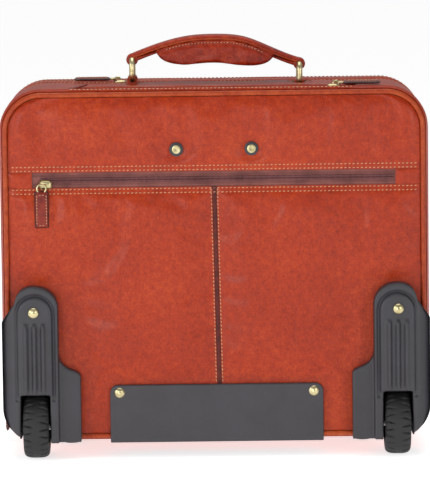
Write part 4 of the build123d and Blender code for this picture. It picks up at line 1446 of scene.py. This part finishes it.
STRAP_X0 = LEFT_RING[0] - 1 * MM
STRAP_X1 = RIGHT_RING[0] + 1 * MM
STRAP_LENGTH = STRAP_X1 - STRAP_X0
SAMPLE_STEPS = 60
SAMPLES = [strap_height(STRAP_X0 + STRAP_LENGTH * i / SAMPLE_STEPS) for i in range(SAMPLE_STEPS + 1)]


def strap_top(x):
    """The same height between two of the measured samples."""
    place = min(max((x - STRAP_X0) / STRAP_LENGTH, 0.0), 0.9999) * SAMPLE_STEPS
    i = int(place)
    return SAMPLES[i] + (SAMPLES[i + 1] - SAMPLES[i]) * (place - i)


def strap_route(drop, y=0.0):
    """A route along the strap, below its top by a drop and moved across by y."""
    def route(distance):
        x = STRAP_X0 + distance
        slope = (strap_top(x + 2 * MM) - strap_top(x - 2 * MM)) / (4 * MM)
        out = Vector((-slope, 0, 1)).normalized()
        point = Vector((x, HANDLE_Y + y * strap_width(distance), strap_top(x))) - out * drop
        return point, (0, 1, 0), out
    return route


def strap_width(distance):
    """Half the strap's width: it narrows towards the rings."""
    near_end = min(distance, STRAP_LENGTH - distance)
    return (8.0 + 5.0 * min(1.0, max(0.0, (near_end - 8 * MM) / (18 * MM)))) * MM


def strip_point(distance, drop, turn, half_wide, half_thick):
    """A point on a flat leather strip's rounded section: turn runs from 0 to 1 round it."""
    point, _, out = strap_route(drop)(distance)
    c = math.cos(2 * math.pi * turn)
    s = math.sin(2 * math.pi * turn)
    wide = math.copysign(abs(c) ** 0.45, c) * half_wide
    tall = math.copysign(abs(s) ** 0.7, s) * half_thick
    return point + Vector((0, wide, 0)) + out * tall


def strap_section(co):
    """The strap itself, rolled up from a grid."""
    distance = co.x * STRAP_LENGTH
    return strip_point(distance, 2.6 * MM, co.y, strap_width(distance), 2.5 * MM)


strap = unit_grid("handle_strap", 90, 20)
reshape(strap, strap_section)
seal(strap, 24)
smooth(strap, 60)

# %% [markdown]
# ## Ends of the strap
# Leather that goes round a ring makes a small round eye, and its end is turned back and sewn under the
# strap. The eye is a cylinder with a bore. The turned-back end is a short strip with the same rounded
# section, and the beads are the rolled edges of the strap.

# %% Eyes round the rings, turned-back ends and beads
parts = [strap]
for place, side in ((LEFT_RING, 1), (RIGHT_RING, -1)):
    eye = rod("eye", place, 6.0 * MM, 16 * MM, "Y", 40)
    soften(eye, 1.4 * MM, 3, 50)
    bore = rod("bore", place, 3.1 * MM, 20 * MM, "Y", 32)
    modify(eye, "BOOLEAN", object=bore, operation="DIFFERENCE", solver="EXACT")
    bpy.data.objects.remove(bore)
    tail = unit_grid("tail", 14, 16)
    tail_start = 3 * MM if side > 0 else STRAP_LENGTH - 3 * MM

    def tail_section(co):
        """The strap's turned-back end: close under the strap, thinning towards its cut edge."""
        distance = tail_start + side * co.x * 21 * MM
        return strip_point(distance, 7.2 * MM + 0.6 * MM * co.x, co.y, 7.6 * MM, (2.2 - 0.7 * co.x) * MM)

    reshape(tail, tail_section)
    seal(tail, 20)
    parts += [eye, tail]
strap = merge("handle_strap", parts)
smooth(strap, 50)
finish_piece(strap, "carry_handle", GRIP, ["carry_handle_strap"])
for number, y in enumerate((-1, 1)):
    bead = tube("handle_bead_%d" % number, strap_route(4.6 * MM, y), STRAP_LENGTH, 0.95 * MM, 3 * MM, 8)
    finish_piece(bead, "carry_handle", WELT)
print("strap faces:", len(strap.data.polygons))

# %% [markdown]
# ## The stuffed grip
# The grip is a leather sleeve over felt, so it is soft and full but pinched along its seam. A copy of the
# frame's solid is remeshed into an even skin and blown up with Cloth, held where it is sewn to the strap.

# %% The stuffed grip
grip = twin(nodes["carry_handle_pad"], "handle_grip")
grip.parent = None
modify(grip, "REMESH", mode="VOXEL", voxel_size=3.0 * MM)
inflate(grip, lambda co: co.z > strap_top(co.x) - 9 * MM, 4.0, 0.01, (1.0 * MM, 1.6 * MM, 0.4 * MM))
modify(grip, "SMOOTH", factor=0.5, iterations=3)
modify(grip, "SUBSURF", levels=1, render_levels=1)


def pinched(co):
    """A hollow along the seam under the strap, and fine folds where the leather turns round the ends."""
    depth = strap_top(co.x) - co.z
    hollow = 1.6 * MM * math.exp(-((depth - 9.5 * MM) / (2.4 * MM)) ** 2)
    fold = 0.25 * MM * math.sin(co.x * 900 + co.z * 200) * max(0.0, 1 - depth / (24 * MM))
    return Vector((co.x, co.y - math.copysign(hollow + fold, co.y - HANDLE_Y), co.z))


reshape(grip, pinched)
smooth(grip, 60)
finish_piece(grip, "carry_handle", GRIP, ["carry_handle_pad"])

# %% [markdown]
# ## Seams of the handle
# The grip is closed along both sides by a fine seam that follows the bow of the strap, and each base loop
# is sewn down on the case by two short rows. They use the same row of stitches as the panels, only smaller.

# %% Stitches of the handle
PAD_START = pad_low.x - STRAP_X0 + 8 * MM
for number, y in enumerate((-1, 1)):
    def grip_seam(distance, y=y):
        """The seam along one side of the grip."""
        point, _, out = strap_route(8.0 * MM)(PAD_START + distance)
        return Vector((point.x, HANDLE_Y + y * 13.8 * MM, point.z)), out, (0, y, 0)

    sew("stitches_grip_%d" % number, grip_seam, pad_high.x - pad_low.x - 16 * MM, "carry_handle",
        pitch=3.4 * MM, size=FINE_STITCH)
for name, (x, _, _) in ring_places.items():
    for number, side in enumerate((-1, 1)):
        y = HANDLE_Y + side * 20.3 * MM
        sew_line("stitches_base_%s_%d" % (name, number), (x - 9 * MM, y, TOP + 1.2 * MM),
                 (x + 9 * MM, y, TOP + 1.2 * MM), UP, pitch=3.4 * MM)
print("handle done")

# %% [markdown]
# ## The front and the linings
# The front lid is one crowned leather panel with a slip pocket sewn on it. Inside, the boards are covered
# with a woven lining. These are the same sewn panels as on the rear, with other outlines.

# %% Front panel, pocket and linings
def always(_):
    """Leather with nothing pressing on it."""
    return 1.0


def lined(name, board_name, facing, body):
    """A woven lining over one face of a board."""
    low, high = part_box(board_name)
    inset = HALF - high.x
    y = low.y if facing < 0 else high.y
    cover = sewn_panel(name, lambda z: -half_width(z, inset), lambda z: half_width(z, inset), BOTTOM + inset,
                       TOP - inset - 0.3 * MM, y=y, facing=facing, keep=always, crown=0.8 * MM, pressure=0)
    finish_piece(cover, body, LINING)


front = sewn_panel("leather_front", edge_left, edge_right, BOTTOM + INSET, TOP - INSET - 0.3 * MM,
                   y=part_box("front_panel")[1].y, facing=1, keep=always)
finish_piece(front, "front_lid", TAN, ["front_panel"])
pocket_low, pocket_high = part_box("front_pocket")
POCKET_RADIUS = 18 * MM


def pocket_side(z):
    """Half the pocket's width at a height, with rounded corners."""
    near = min(z - pocket_low.z, pocket_high.z - z)
    if near >= POCKET_RADIUS:
        return pocket_high.x
    reach = math.sqrt(max(0.0, POCKET_RADIUS ** 2 - (POCKET_RADIUS - near) ** 2))
    return pocket_high.x - POCKET_RADIUS + reach


pocket = sewn_panel("leather_front_pocket", lambda z: -pocket_side(z), pocket_side, pocket_low.z + 0.3 * MM,
                    pocket_high.z - 0.3 * MM, y=pocket_high.y - 1.5 * MM, facing=1, keep=always)
modify(pocket, "SOLIDIFY", thickness=3.0 * MM, offset=1.0)
finish_piece(pocket, "front_lid", TAN, ["front_pocket"])
pocket_face = pocket_high.y + 0.4 * MM
for side_name, side in (("left", -1), ("right", 1)):
    x = side * (pocket_high.x - 4 * MM)
    sew_line("stitches_pocket_" + side_name, (x, pocket_face, pocket_low.z + 16 * MM),
             (x, pocket_face, pocket_high.z - 16 * MM), (0, 1, 0), body="front_lid")
for name, z in (("low", pocket_low.z + 4 * MM), ("high", pocket_high.z - 4 * MM)):
    sew_line("stitches_pocket_" + name, (-pocket_high.x + 16 * MM, pocket_face, z),
             (pocket_high.x - 16 * MM, pocket_face, z), (0, 1, 0), body="front_lid")
print("front done")

# %% [markdown]
# ## Linings
# Each board that can be seen when the case is open is covered with cloth. A lining is glued down, so it
# needs no Cloth simulation, only a very low crown.

# %% Linings
lined("lining_chamber", "chamber_wall", 1, "case")
lined("lining_divider_rear", "divider", -1, "front_section")
lined("lining_divider_front", "divider", 1, "front_section")
lined("lining_lid", "front_panel", -1, "front_lid")
print("linings done")
